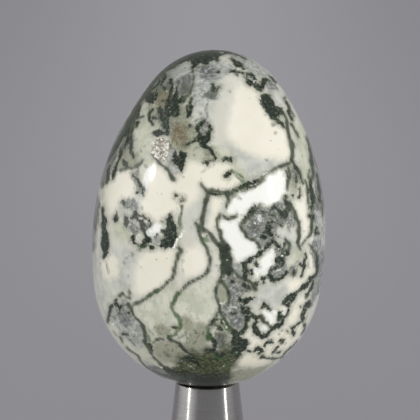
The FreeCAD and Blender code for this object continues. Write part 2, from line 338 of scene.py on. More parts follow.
# Dark banded stone, with painted shade laid along the egg's outline
BAND_AND_SHADE_PATCHES = [
    [(196,50), (188,53), (176,60), (164,69), (154,80), (146,90), (138,101), (131,112), (124,123), (117,134),
     (111,145), (105,157), (100,170), (104,172), (110,160), (116,150), (121,144), (126,138), (130,132),
     (133,124), (136,114), (140,106), (145,100), (150,92), (156,85), (163,78), (172,70), (182,64), (190,60),
     (200,56)],
    [(183,76), (192,74), (192,88), (187,95), (181,98), (176,95), (174,86), (176,79)],
    [(160,118), (170,114), (172,126), (168,136), (160,130)],
    [(119,134), (133,129), (134,146), (130,150), (122,149), (117,156), (114,166), (110,176), (104,186),
     (99,184), (104,166), (110,150)],
    [(160,76), (169,70), (173,84), (169,93), (160,92), (152,94), (148,92), (154,84)],
    [(307,132), (313,144), (319,160), (325,180), (329,200), (325,208), (317,210), (310,207), (312,200),
     (315,190), (313,176), (311,160), (308,146)],
    [(158,366), (170,371), (184,378), (170,380), (156,374), (146,367)],
    [(88,200), (97,192), (100,206), (97,226), (95,250), (88,250), (84,222)],
    [(214,336), (224,334), (227,342), (220,348), (215,344)],
    [(274,203), (284,201), (291,206), (290,216), (286,222), (278,224), (271,219), (270,209)],
]
MOSS_PATCHES = [
    [(168.5,215), (171,215), (173,221), (176,229), (177,236), (176,243), (173,247), (168,246), (164,248),
     (160,247), (159,245), (162,241), (164,236), (163,231), (166,227), (168,221)],
    [(260,96), (265,94), (270,96), (273,101), (276,106), (281,109), (284,113), (280,115), (278,117),
     (276,120), (273,119), (269,115), (266,111), (263,106), (262,102)],
    [(231,334), (232,330), (236,333), (240,338), (246,340), (247,345), (246,349), (241,352), (239,356),
     (234,357), (231,352), (233,346), (231,342), (233,338)],
    [(146,97), (149,92), (152,92), (154,96), (153,101), (150,104), (147,103), (144,101)],
    [(171,100), (175,97), (180,99), (184,97), (182,101), (179,106), (178,112), (175,116), (171,114),
     (170,108)],
    [(178,63), (180,60), (186,57), (194,53), (204,51), (212,50), (219,52), (222,54), (218,56), (217,60),
     (213,59), (209,62), (205,64), (201,62), (199,64), (196,67), (193,69), (192,64), (190,61), (186,61),
     (182,63)],
    [(196,127), (199,128), (200,134), (204,136), (208,133), (210,128), (211,130), (210,137), (207,143),
     (206,147), (201,146), (199,142), (194,141), (195,139), (198,137), (197,132)],
    [(174,150), (176,152), (178,157), (180,152), (183,153), (187,155), (184,158), (183,164), (182,170),
     (180,171), (177,166), (174,163), (172,161), (175,158)],
    [(219,246), (224,245), (228,250), (230,258), (231,266), (231,274), (226,275), (223,268), (222,258)],
]
THICKET_PATCHES = [
    [(176,362), (180,355), (190,350), (200,352), (208,347), (218,350), (226,346), (238,348), (241,353),
     (238,362), (233,370), (229,384), (220,392), (206,396), (190,392), (178,384), (170,376), (166,370),
     (172,368)],
]
MOSS_STROKES = [
    [(291,160,1.1), (294,165,1.4), (298,170,1)], [(250,74,0.9), (254,78,1.3), (257,83,1)],
    [(155,132,1.6), (160,131,1.6)], [(213,322,1), (218,319,1.2), (223,322,1)],
    [(224,269,1.8), (221,276,1.4), (221,281,1)], [(229,191,1.5), (236,190.5,1.7), (242,188.5,1.5)],
    [(208,192,0.6), (214,194,0.8), (220,195,0.8)], [(237,334,1.6), (244,330,1.6), (247,322,1.2)],
    [(256,323,1.1), (257,329,1.3), (261,333,1)], [(266,80,2), (269.5,81,1.4)],
    [(303,314,1.1), (307,309,1.3), (310,303,1.1)], [(250,316,1.4), (255,318,1.2), (258,323,0.9)],
    [(285.5,170,0.7), (287,176,0.7)], [(212,87,1), (215,91,1.2)],
    [(181,362,1.2), (187,358,2.2), (193,360,2.2), (199,365,1.6)], [(214,352,1), (217,360,1.2)],
    [(184,371,1.2), (194,375,2), (206,377,2.2), (218,376,1.8), (224,374,1)],
    [(221,54,1.1), (227,52.5,1.3), (233,53.5,1.3), (239,56,0.9)],
    [(232,60,1.4), (236,63,2.4), (241,66,2.2), (245,69,1.2)],
    [(308,138,1), (309.5,147,1.5), (311,156,1.8), (312.5,164,1.8)],
    [(192,56,3), (184,58,3), (176,62,2.6), (168,67,2.5), (161,73,3), (156,78,3.4), (151,85,3.4), (148,90,3),
     (144,95,2.4), (141,101,2.4), (138,106,2.8), (135,111,3.2), (131,118,3.4), (128,125,4.2), (126,131,4.4),
     (121,137,3.4), (118,143,3.2), (114,150,3), (110,157,2.4), (107,163,1.6)],
    [(132,128,1.4), (131,138,1.2), (131,148,1.6), (133,157,1.4)], [(128,136,1), (127,143,1.2), (124,148,1)],
    [(121,149,1.2), (120,156,1.4)], [(167,100,1), (167,110,1.4), (167,120,1.4), (168,128,1.2)],
    [(140,106,1), (139,112,1.2), (137,118,1.4)], [(164,72,1.4), (164,79,1.8), (162,84,1.2), (164,89,1.2)],
    [(160,80,1.4), (158,84,1.2), (155,87,1), (151,89,1)], [(157,91,0.9), (156,97,1.4), (155,99,1)],
    [(171,80,1.6), (172,85,1.6), (171,90,1.6), (170,96,1.2), (169,101,1.6)],
    [(176,88,1), (176,92,1.2), (174,98,1.6)],
    [(168,103,1.8), (167,109,2.2), (167,115,2.6), (165,120,2), (166,123,1.6)],
    [(158,107,1), (161,111,1.8), (162,116,2.2), (164,120,2)], [(163,101,1.2)],
    [(152,110,1.3), (149,112,1.2), (149,117,1.2), (151,121,1.2), (153,125,1)],
    [(139,118,0.8), (143,117,0.9)], [(138,123,2), (137,126,1.4)], [(153,118,0.9), (158,119,1.3)],
    [(163,124,1.2), (166,127,1.5), (168,131,1.4)], [(155,133,2), (158,133.5,2.4), (161,133,2)],
    [(164,133,1.6), (167,134,1.6)], [(168,143,1.2), (169,147,1)],
    [(214,51,2), (222,51,1.6), (228,52,1.8), (234,54,1.6), (240,56,1.2), (245,59,0.8)],
    [(231,58,1.2), (234,61,2), (236,64,2.2), (239,66,2.4), (243,67,1.6), (245,69,1)],
    [(230,71.5,1.1), (235,71,1.4), (240,71.5,1.2), (243,73,1), (246,78,1), (247,80,0.9)],
    [(236,74,1), (238,75,0.8)], [(219,71.5,1.7), (217,73,1)],
    [(247,74,1.2), (250,75,2.4), (253,77,2), (254,79,1.4)],
    [(248,82,1.8), (251,83,2.2), (254,84,1.6), (257,87,2), (259,89,1.6), (261,91,1)],
    [(255,80,1.2), (257,84,1.2), (262,87,2.2), (263,83,2.4), (264,79,2), (267,81,1.4)],
    [(213,84,1.5), (214,87,1.8), (212,89,2.1), (217,88,1.1), (219,87.5,0.9)],
    [(204,122,1.5), (201,124,1.3), (197,126,1.5), (197,131,1.8)],
    [(209,124,0.9), (210,128,1.3), (210,132,1.2)],
    [(191,98,1.2), (190,104,1.6), (191,109,1.9), (189,114,2.2), (188,117,1.4)], [(188,104,1), (187,112,1)],
    [(190,126,1.3)], [(270,76,1.4), (273,79,1.8), (276,82,1.4)],
    [(277,119,1.2), (280,122,1.6), (283,125,1.6), (285,128,1)],
    [(286,102,1.2), (288,105,1.6), (289,110,2.2), (290,114,2), (292,119,1.6)], [(284,98,0.7), (286,97,0.7)],
    [(110,166,1.3), (108,171,2.1), (108,176,1.8), (107,181,1.4), (106,183,1)],
    [(120,152,1.2), (121,156,1.1), (118,161,1.2), (116,167,1.8), (114,172,2.2), (113,176,1.6), (112,179,1)],
    [(124,162,2.2), (126,165,2), (125,168,1.2)],
    [(133,176,1), (137,178,0.9), (139,182,1.3), (141,186,1.2), (143,190,0.9), (143,196,0.8)],
    [(137,192,1.4)], [(124,204,1.3), (121,201,0.9)], [(117,213,0.9), (116,219,2.2)],
    [(127,216,1.2), (126,222,2), (126,226,1.4)], [(135,211,1), (135,215,1.5)],
    [(131,219,1.2), (134,216,1.8), (137,218,2), (140,221,1.6), (142,226,1.6), (144,231,1.8), (146,236,1.8),
     (148,240,2.6), (145,242,2.4), (144,247,1.8), (140,245,1.2), (136,244,1), (133,241,1.4), (133,237,2),
     (131,239,1)],
    [(135,214,1), (140,215,1.2), (145,217,1.3), (149,220,1.4), (150,224,1.2), (147,227,1), (143,226,1),
     (142,222,1.1)],
    [(162,222,1.6)], [(155,237,1.3), (158,236,1.1)], [(150,248,1.6), (153,247,1.9), (155,246,1)],
    [(102,208,1.2), (103,214,2), (104,220,2.6), (104,228,2.8), (105,234,3.4), (105,240,4.2), (105,246,4.2),
     (105,252,3.2), (104,257,1.8)],
    [(176,196,1.3)], [(183,197,1), (182,201,1.2)],
    [(198,139,1.8), (193,141,1.3), (189,143,1.3), (186,145,1)],
    [(203,146,2), (207,147,1.7), (210,148,1.6), (212,150,1.3), (213,154,1.1), (215,157,0.9), (213,160,0.9),
     (210,161,0.7)],
    [(208,163,1.5), (204,162,0.9)],
    [(223,159.5,1), (226,159,1.2), (229,160,1.2), (231,158,1.4), (232,161,1.4)],
    [(225,177,0.9), (228,175,2), (231,173,1.4)],
    [(240,187,1.4), (245,185,2.1), (250,183,2.3), (255,181,1.9), (258,180,1)],
    [(285,200,1.6), (287,203,2.2), (291,206,1.6), (286,210,2.8), (284,216,3), (280,212,1.6), (274,207,1.4),
     (271,209,0.8)],
    [(243,224,0.8), (245,218,1.2), (250,212,1.2), (255,206,0.9)],
    [(262,211,0.6), (268,214,0.7), (274,216,0.7), (279,219,0.6)], [(263,234,1), (267,230,1.3), (271,227,1)],
    [(286,197,1.2)], [(266,228,1.2), (268,224,1.2), (273,222,1.3), (278,223,1.2), (281,226,0.9)],
    [(268,232,1.2), (272,235,1.5), (277,237,1)], [(262,238,1.6), (266,237,2)],
    [(272,241,1.4), (276,244,1.6), (279,247,1.4)],
    [(243,263,2), (247,262,1.6), (251,260,1.8), (256,257,2), (260,253,1.8), (264,250,1.8), (267,247,1.6),
     (270,244,1.6), (273,242,1.2)],
    [(285,245,1.4)],
    [(277,250,1), (281,250,1.2), (286,250,1.2), (288,253,1.4), (284,255,1), (280,257,1.4), (276,259,1.2),
     (279,262,1.3), (283,259,1.1), (283,264,0.8), (280,266,1), (275,268,1.2), (271,270,1)],
    [(269,273,1.8), (271,277,1.8), (274,281,2), (279,279,1.6), (283,276,1.6), (287,272,1.6)],
    [(262,278,1.2), (266,277,1.4), (269,275,1.2)], [(263,282,1.4), (264,284,1)],
    [(257,265,1.6), (256,260,1.2)], [(252,271,1.4), (252,275,1.2)],
    [(245,264,1.8), (245,271,2.2), (245,278,1.8)], [(257,283,1.3), (254,281,0.8)],
    [(305,253,0.8), (306,257,1.2), (304,262,1.2), (305,267,1.2), (303,271,1), (301,276,1)],
    [(298,263,0.8), (303,265,0.8)], [(294,271,1.5), (294,275,1.2)],
    [(317,258,2), (317,264,2), (317,271,1.8), (314,276,2.4), (311,278,2.4), (308,283,2), (303,287,1.8),
     (300,290,1.6), (297,293,1.6), (292,296,2.2), (287,299,2.4), (284,302,2)],
    [(307,295,2), (309,292,1.6), (312,286,2), (313,281,1.4)],
    [(290,301,1.6), (293,298,1.6), (288,305,1.8), (290,306,1.4)],
    [(317,228,1.6), (315,233,1.6), (319,234,1)], [(310,216,1.4), (313,217,1.2)],
    [(311,181,2), (311,188,1.8), (312,195,2.4), (313,201,2), (311,208,1.4)],
    [(317,175,1.6), (318,182,1.8), (319,188,2), (320,195,1.8), (319,199,1.8), (322,203,1), (322,210,1),
     (323,216,0.8)],
    [(296,177,1.3), (297,182,1)], [(300,188,1), (300,192,1.2), (299,197,1.2)], [(293,195,1.4)],
    [(112,306,1.8), (110,311,1.6), (109,317,1.4), (107,322,1.2)],
    [(116,301,1.9), (116,304,1.8), (119,308,1.6), (121,306,1.2)], [(119,313,0.9)], [(129,313,1.2)],
    [(122,334,1), (127,334,0.9)], [(150,345,2), (151,350,1.6)], [(165,369,1.8), (171,371,2), (178,373,2.4)],
    [(181,346,1.6), (184,349,1.7), (188,353,1.3)], [(173,327,1), (176,328,1.5)], [(169,337,1.5)],
    [(208,333,1.8), (209,338,1.8), (213,340,1.6), (215,345,1.6), (214,350,1.8), (210,351,2), (206,350,1.2)],
    [(216,354,2), (218,358,2.2), (222,354,1.6)], [(220,327,1.4), (222,329,1.2), (218,329,1)],
    [(232,282,1.9)], [(244,285,2.2), (249,288,1.6)],
    [(239,300,1.6), (243,302,2.2), (248,300,1.6), (254,299,1.4)],
    [(241,306,1.2), (245,311,1.8), (247,316,1.8), (247,322,1.8), (246,327,1.2)], [(234,313,1.8)],
    [(248,308,1.1), (250,313,1.6), (255,316,1.6), (259,317,1.4)],
    [(256,320,1.3), (255,326,1.8), (254,331,1.6), (257,333,1.8), (261,336,2.2), (266,336,2.4),
     (269,333,1.6), (272,329,1.6), (276,326,2), (280,325,1.8), (282,321,1.6), (280,317,1.2), (286,317,1),
     (288,311,0.9), (290,306,1.1)],
    [(280,312,1.2), (278,316,1.2), (279,320,1)],
    [(261,308,1.2), (264,305,1.6), (267,306,1.2), (270,309,0.8)], [(300,307,0.9)],
    [(304,308,1.6), (307,304,1.8), (309,301,1.2)],
    [(304,309,1.4), (303,313,1.8), (302,317,1.9), (303,320,1.6), (300,322,1.4), (297,325,1.1),
     (294,327,1.1), (291,327,0.8)],
    [(293,332,2.3), (294,335,1.2)], [(288,331,1)], [(304,324,1.2), (305,328,1.2), (302,333,1.1)],
    [(265,346,1), (266,343,1), (269,341.5,1.4), (272,341.5,1.2)],
    [(253,352,0.9), (256,350,1.4), (259,349,2), (261,351,1.8), (258,354,1)], [(249,351,1.5)],
    [(280,340,0.9), (283,341,0.9), (282,343,0.8)],
    [(278,347,1), (275,350,1.2), (274,353,1.1), (278,353,1.1), (281,351,0.8)],
    [(261,357,0.7), (264,357,1.3), (270,358,0.9), (274,359,1.1), (279,358,1), (284,357,1.1)],
    [(296,342,1), (293,346,1.2), (288,350,1.3), (284,354,1.1), (281,358,0.9)],
]
VEINS = [
    [(186,58,1.6), (180,60,1.7), (176,64.5,1.4), (171,68,1.6), (166,70,1.5), (162,74,1.5), (157,79,1.7),
     (152,85,1.5), (149,90,1.4), (144,96,1.2), (140,101,1.2), (136,107,1.4), (133,113,1.6), (130,119,1.8),
     (128,124,2.2), (125,129,2.3), (121,135,1.9), (117,141,1.7), (113,148,1.5), (110,154,1.2),
     (108,159,0.9)],
    [(141,101,1.2), (139,107,1.1), (137,113,1.3), (134,120,1.9), (132,127,2.3), (130,133,1.2)],
    [(193,69,1), (193,76,0.9), (193,83,0.9), (192,89,0.9), (189,93,1), (186,97,1.2), (182,100,1.6)],
    [(281,112,1.5), (284,115,1.3), (286,119,1.3), (287,124,1.2), (288,130,1.4), (289,136,1.6),
     (290,141,1.8), (292,146,2.3), (293,150,1.9), (292,155,1.6), (291,160,1.4), (293,163,1.8),
     (295,167,1.9), (298,171,1.7), (301,176,1.3), (302,181,1.1), (303,184,0.8)],
    [(290,163,1.6), (284,165,1.7), (279,167,1.4), (275,169,1.1), (271,171,0.9), (267,173,0.8),
     (262,177,0.5), (259,180,0.4)],
    [(291,124,1), (294,129,1.1), (297,134,0.9), (298,136,0.8)],
    [(306,137,0.9), (308,143,1.2), (310,150,1.6), (311,156,1.9), (312,162,2.1), (312,168,2.1),
     (313,174,1.7), (311,181,1.6)],
    [(309,170,0.8), (309,178,0.9)],
    [(120,170,1.1), (126,169,1.1), (132,167.5,1.1), (138,166,1.3), (141,163,1.1), (142,160,0.8)],
    [(152,155,0.8), (155,159,1), (160,164,1.2), (166,168,1.2), (169,172,1.4), (171,176,1.6), (174,179,2.3)],
    [(200,184,0.8), (203,187,1), (205,189,1.2), (208,190,1.3), (213,190,1.1), (216,191,1.1), (220,192,1.5),
     (224,193,1.5), (228,194,1.9), (232,193,1.9), (236,190,1.7), (240,187.5,1.7)],
    [(213,191,1.4), (209,193,1.5), (207,196,1.6), (206,200,1.9), (205,205,1.7), (204,210,1.7),
     (203,215,1.8), (202,221,2), (201,226,2.4), (202,229,2.3), (206,231,1.5), (209,233,1.3), (212,236,1.7),
     (215,241,1.9), (219,246,2.1), (222,251,2.4), (223,257,2.8), (224,263,2.8), (223,269,2.1),
     (222,275,1.6), (220,280,1.3), (217,285,1.2), (216,291,1.1), (216,297,1.1), (218,302,1.1),
     (219,307,1.3), (219,312,1.3), (216,318,1.2), (212,323,1.2), (209,326,1.1)],
    [(243,190,1.1), (248,188,1.3), (252,187,1.1), (257,185,0.9), (262,180,0.8)],
    [(228,195,1.6), (228,200,1.2), (227,204,1), (226,209,0.8)],
    [(289,168,1.5), (289,173,1), (289,179,1), (288,185,1.2), (287,189,1.1)],
    [(195,223,0.8), (198,227,1.5), (199,232,1.5), (201,238,1.3), (204,243,1.1), (207,249,1.1),
     (209,255,1.1), (210,261,1.1), (210,266,1.1), (208,271,1.2), (204,275,1.3), (199,278,1.3),
     (194,281,1.3), (189,283,1.1), (185,287,1.2), (181,291,1.3), (177,296,1.4), (174,301,1.4)],
    [(220,215,0.9), (218,220,1.1), (217,226,1.2), (220,232,1.3), (222,238,1.5), (224,244,1.9),
     (227,249,2.3), (229,255,2.3), (230,261,1.9), (231,267,1.5), (233,271,1.2), (237,275,1.4),
     (242,279,1.5), (247,281,1.5), (250,282,1.7), (254,285,1.5), (256,290,1.1)],
    [(224,217,1), (227,219,1.3), (231,218,1.4), (235,216,1), (238,214,0.7)],
    [(178,248,1.1), (181,251,1.8), (178,255,1.6), (176,260,1.3), (175,266,1.1), (174,272,1.1),
     (172,278,1.3), (168,282,1.3), (163,286,1.1), (158,290,1.1), (152,294,1.3), (146,298,1.3),
     (140,302,1.1), (135,304,1)],
    [(128,304,1.3), (131,308,1.7), (133,313,1.3), (135,317,0.9), (139,320,1.1), (142,325,1.3),
     (145,330,1.3), (145,336,1.6), (145,341,1.3), (148,347,1.5), (151,352,1.5), (154,358,1.3),
     (158,361,1.2), (162,365,1.4), (167,368,1.6)],
    [(135,304,1), (130,307,1)], [(153,342,0.9), (157,340,1), (163,339,0.8)],
    [(170,338,1), (174,342,0.9), (178,343,1.1), (181,346,1.4)],
    [(221,281,1.1), (224,285,1.3), (227,289,1.3), (229,294,1.3), (229,300,1.1), (226,304,0.9)],
    [(222,314,1.1), (224,318,1.2), (227,323,1.3), (230,328,1.5), (233,332,2)],
    [(210,326,0.9), (215,324,0.9), (220,327,1.1)],
    [(260,205,1), (257,208,1.2), (253,212,1.2), (250,216,1.3), (245,219,1.5), (242,222,1.3), (241,227,1.2),
     (244,232,1.3), (248,237,1.4), (253,240,1.3), (257,243,1.3), (259,248,1.3)],
    [(290,206,1.2), (294,211,1.5), (296,217,1.7), (299,226,1.9), (299,235,1.7), (298,241,1.3),
     (299,247,1.5), (299,249,1.1)],
    [(284,239,0.8), (288,242,0.9), (290,246,1), (289,249,1)],
    [(312,217,1.4), (312,224,1.5), (311,231,1.3), (308,237,1), (305,241,0.9), (302,246,0.9)],
    [(309,245,0.8), (312,249,0.9), (315,252,1.1), (317,257,1.6)],
    [(305,180,0.9), (306,186,0.9), (308,191,1), (308,199,1.1), (308,208,0.8)],
    [(261,316,1.3), (264,321,1.3), (268,324,1.3), (271,327,1.1)],
    [(127,348,0.9), (132,352,1.1), (137,355,1.1), (141,361,1.3), (145,366,1.3), (151,370,1.3),
     (158,373,1.5), (166,376,1.7), (176,378,1.9), (184,379,1.9)],
    [(119,296,1.1), (123,294,0.9), (126,296,0.9), (130,298,0.9)], [(128,290,0.7), (129,294,0.7)],
    [(121,338,1), (122,342,0.8)], [(95,212,0.9), (94,220,1.3), (95,228,1.1)],
    [(103,183,0.9), (102,188,0.8)],
]
FAINT_STROKES = [
    [(209,330,1.8), (214,327,1.2)], [(206,108,1.5), (207,114,1.3)], [(202,105,1.2)],
    [(213,91,1.4), (215,96,2.2)], [(231,197,1.3), (236,196,1)], [(205,95,1.5)],
    [(179,338,1.2), (186,334,1)], [(213,95,4)], [(205,96,2), (208,94,1.6)], [(207,104,1.2), (206,109,1.1)],
    [(206,113,1.5), (207,117,1.7)], [(200,113,1.6)], [(196,120,1.3), (200,118,1.2), (204,120,0.9)],
    [(184,84,2), (186,89,2.6), (184,94,2)], [(203,67,1.3), (206,68,1)], [(204,71,1)], [(208,75,1.1)],
    [(202,77,1.5), (205,79,1)], [(213,76,1.8)], [(212,71,1)], [(217,62,1), (219,60,1)], [(224,61,1.1)],
    [(218,79,1.2)], [(230,91,1.1), (231,92.5,0.8)], [(178,123,1.3), (177,121,1)],
    [(273,125,1.5), (276,124,1)], [(266,160,1.3)], [(302,156.5,1.1)], [(275,133,1.2)],
    [(129,139,1), (127,141,1.1), (125,144,1)], [(121,150,1.4), (124,149,1)], [(141,151,1.5)],
    [(144,146,0.9)], [(145,165,1.1), (147,167,0.9)], [(138,168,1.3), (138,171,1.2)], [(137,203,1.3)],
    [(136,207,1)], [(142,208,1)], [(127,207,1)], [(131,203,1)], [(133,199,0.9)], [(206,155,1.1)],
    [(194,155,1)], [(196,148,1.1)], [(193,150,0.8)], [(205,169,1), (203,172,0.8)], [(202,178,0.8)],
    [(214,194,1.6), (218,195,1)], [(238,197,1.3), (241,199,1)], [(140,250,1.5), (137,249,1)],
    [(133,254,1.1), (134,256,0.8)], [(141,268,0.9)], [(128,277,0.9)],
    [(107,262,0.8), (107,268,0.8), (109,274,0.8)], [(100,264,1)], [(124,263,1)], [(127,258,0.9)],
    [(183,269,1.2), (183,273,1)], [(182,261,1)], [(187,252,0.6)],
    [(182,206,1.2), (181,214,1.4), (181,222,1.5), (180,230,1.4)],
    [(98,206,1.2), (98,216,1.4), (99,226,1.2)], [(198,334,1)], [(190,334,0.9)], [(193,344,1)],
    [(179,353,1)], [(215,334,2), (222,336,2), (222,346,2)], [(238,318,1.2), (240,322,1)],
    [(231,322,1.2), (234,326,0.9)], [(236,288,1.2), (238,292,1)], [(226,276,1.6), (230,279,1.4)],
    [(251,222,1.4), (254,228,1.4)], [(262,214,1.6), (267,218,1.4)], [(252,232,1.4), (258,228,1.3)],
    [(270,212,1.4), (276,216,1.6)], [(258,212,1.4)], [(262,224,1.2)], [(246,226,1.2)], [(289,333,0.8)],
    [(279,334,1)], [(282,331,0.9)], [(311,212,1.4), (314,214,1)], [(316,222,1)], [(310,226,0.9)],
    [(292,172,1.2)], [(296,186,1)], [(290,232,1), (287,228,1)], [(304,232,0.6)],
    [(308,262,0.8), (309,268,0.8)], [(311,254,0.8)], [(113,316,1), (116,320,1)],
    [(124,318,1.2), (128,322,1)], [(136,330,1.2)], [(130,340,1.2), (134,344,1)], [(126,326,1)],
    [(114,332,1.2), (117,336,1)], [(140,336,1)], [(134,336,0.9)], [(149,330,1), (153,335,1)], [(163,329,1)],
    [(160,334,1.1)], [(164,352,1.4), (170,356,1.2)], [(176,358,1.4)], [(160,356,1.1)], [(295,210,1.2)],
    [(320,246,1)], [(320,262,1.1), (320,272,1)], [(308,314,0.8), (306,320,0.8)],
    [(159,112,1.2), (156,116,1.1)], [(176,118,1.2)], [(183,114,1)], [(181,108,1)], [(185,128,1.4)],
    [(118,145,1), (116,152,1)], [(112,160,1), (110,164,1)],
]
LEAF_STROKES = [
    [(179,330,1), (175,335,1.2), (170,338,1)],
    [(178,292,1.2), (175,299,1.5), (173,305,1.8), (173,311,1.3), (176,315,1.8), (180,320,2), (181,325,1.8),
     (178,330,1.6), (174,334,1.3), (170,337,1.4)],
    [(222,318,1.1), (226,325,1.4), (229,332,0.9)], [(231,170,0.8), (236,172,1), (240,175,1), (243,179,0.8)],
    [(233,174,0.8), (238,178,1), (241,181,1), (245,183,0.9)], [(182,205,0.8), (181,214,0.8), (178,230,0.7)],
    [(208,328,1.4), (207,334,1.6), (209,340,1.6)], [(217,218,0.9), (216,225,1)], [(223,284,1), (227,289,1)],
    [(213,354,0.9), (219,359,1.1), (225,357,0.9)], [(230,365,1.1), (223,369,0.9)],
    [(148,336,1.1), (149,341,1.1)], [(147,298,1), (153,294,1), (158,290,0.8)],
    [(200,240,0.8), (204,246,0.8)], [(309,294,1.1), (306,298,1)],
    [(203,238,1), (209,240,1.2), (207,236,0.8)], [(142,247,1), (139,248,1.1)],
    [(292,112,0.9), (294,116,0.9)], [(147,224,0.9)], [(233,356,0.9), (236,352,0.8)],
]
# Bright cracks; some of the small marks among them are painted glints, highlights on the polish
THREADS_AND_GLINTS = [
    [(184,231,1), (181,235,1.2), (178,240,1.2), (175,245,1.2), (173,249,1.2)],
    [(253,218,0.3), (254,222,0.4), (257,225,0.3)], [(137,235,0.8)],
    [(243,73.5,0.35), (245,76,0.4), (246,80,0.3)], [(233,68.5,0.3), (238,69,0.4), (243,70.5,0.3)],
    [(262,176,0.6), (266,173,0.6), (270,171.5,0.5)], [(251,186,0.6), (257,183,0.6)],
    [(252,79,0.7), (254,82,0.7), (255,85,0.6)], [(226,259.5,0.7), (228,261,0.7)],
    [(219,302,0.7), (222,304,0.7), (225,301,0.6)], [(229,308,0.5), (233,306.5,0.5), (237,308,0.4)],
    [(227,327,1.1)], [(223,320,0.4), (225,324,0.5)], [(160,367,0.4), (163,368,0.4)], [(113,324,1)],
    [(119,321,0.7)], [(112,281,0.7)], [(113,289,0.8)], [(113,293,0.7)], [(105,288,0.7)], [(138,235,0.8)],
    [(137,239,0.6)], [(235,320,0.8)], [(239,295,0.6)], [(222,305,0.7)], [(244,295,0.6)], [(167,91,0.9)],
    [(149,205,0.6)], [(280,257,0.5), (283,256,0.5)], [(236,352,0.7)],
    [(273,272,0.4), (277,271,0.4), (281,269,0.4)], [(203,236,0.6), (207,238,0.6)],
]


def srgb(red, green, blue):
    """A colour as it is read off a screen, 0 to 255, made linear."""
    return tuple(((part / 255 + 0.055) / 1.055) ** 2.4 for part in (red, green, blue))


def length(name, description, millimetres):
    return bpy.props.FloatProperty(
        name=name, description=description, default=millimetres * MM, unit="LENGTH", precision=5)


def tone(name, description, red, green, blue):
    return bpy.props.FloatVectorProperty(
        name=name, description=description, subtype="COLOR", default=srgb(red, green, blue))


def shaded(colour, share):
    return tuple(part * share for part in colour)


def clear_selection():
    if bpy.context.object and bpy.context.object.mode != "OBJECT":
        bpy.ops.object.mode_set(mode="OBJECT")
    bpy.ops.object.select_all(action="DESELECT")


class EggSettings(bpy.types.PropertyGroup):
    """Sizes of the egg's arcs and the tones of its stone."""

    radius: length("Radius", "Half the egg's width", 16.5)
    rise: length("Rise", "From the widest circle to the tip", 27)
    drop: length("Drop", "From the widest circle to the bottom", 21)
    tip_radius: length("Tip radius", "Radius of the round tip", 10.9)
    flank_radius: length("Lower flank radius", "Radius of the arc under the widest circle", 55)
    lean: bpy.props.FloatProperty(
        name="Lean", description="How far the tip leans to the right", default=math.radians(2.9),
        subtype="ANGLE")
    cuts: bpy.props.IntProperty(
        name="Cuts", description="Cuts along each side of the cube that the egg starts from", default=127)
    milk: tone("Milk", "Clouded stone between the patches", 221, 220, 212)
    cream: tone("Cream", "Warm chalky patches", 241, 238, 227)
    white: tone("White", "Cool white patches", 248, 250, 247)
    sage: tone("Sage", "Green-grey translucent cells", 216, 217, 205)
    deep_sage: tone("Deep sage", "Darker green-grey cells", 160, 162, 145)
    tan: tone("Tan", "Iron-stained patches", 104, 96, 74)
    moss_dark: tone("Dark moss", "Deepest moss", 28, 36, 32)
    moss_green: tone("Green moss", "Moss where it thins", 72, 85, 66)
    leaf: tone("Leaf", "Bright green along some veins", 70, 98, 58)


class StandSettings(bpy.types.PropertyGroup):
    """Sizes of the turned stand, its ring, screw and felt, and their tones."""

    column_height: length("Column height", "From the flange's underside to the lip", 34)
    lip_radius: length("Lip radius", "Outside of the column at its lip", 4.5)
    mouth_radius: length("Mouth radius", "Inside of the mouth that holds the ring", 3.9)
    taper: bpy.props.FloatProperty(
        name="Taper", description="How far the column's side leans out", default=math.radians(6.5),
        subtype="ANGLE")
    flare_radius: length("Flare radius", "Hollow rounding between column and flange", 6)
    flange_thickness: length("Flange thickness", "Thickness of the column's flange", 1.4)
    flange_land: length("Flange land", "Flat rim of the flange outside the flare", 0.9)
    plate_radius: length("Plate radius", "Half the width of the base plate", 19)
    plate_thickness: length("Plate thickness", "Thickness of the base plate", 6.5)
    register_depth: length("Register depth", "How deep the flange sits in the plate", 0.5)
    felt_thickness: length("Felt thickness", "Thickness of the felt disc", 1.2)
    felt_recess: length("Felt recess", "How deep the felt sits in the plate", 0.7)
    rim_width: length("Rim width", "Plate left outside the felt", 1.8)
    ring_section: length("Ring section", "Thickness of the soft ring", 1.2)
    ring_level: length("Ring level", "Height of the ring's middle", 39.896)
    screw_radius: length("Screw radius", "Half the width of the thread", 2)
    screw_length: length("Screw length", "From under the head to the tip", 12)
    thread_pitch: length("Thread pitch", "Rise of the thread in one turn", 0.7)
    head_radius: length("Head radius", "Half the width of the screw's head", 3.8)
    head_height: length("Head height", "Height of the screw's head", 2.2)
    washer_thickness: length("Washer thickness", "Thickness of the spring washer", 0.9)
    steel: tone("Steel", "Turned steel of column and plate", 205, 204, 202)
    zinc: tone("Zinc", "Plating of the screw", 196, 198, 200)
    spring: tone("Spring steel", "Bare steel of the spring washer", 128, 130, 134)
    rubber: tone("Rubber", "Soft black ring", 62, 62, 64)
    felt: tone("Felt", "Pressed wool under the plate", 54, 59, 56)


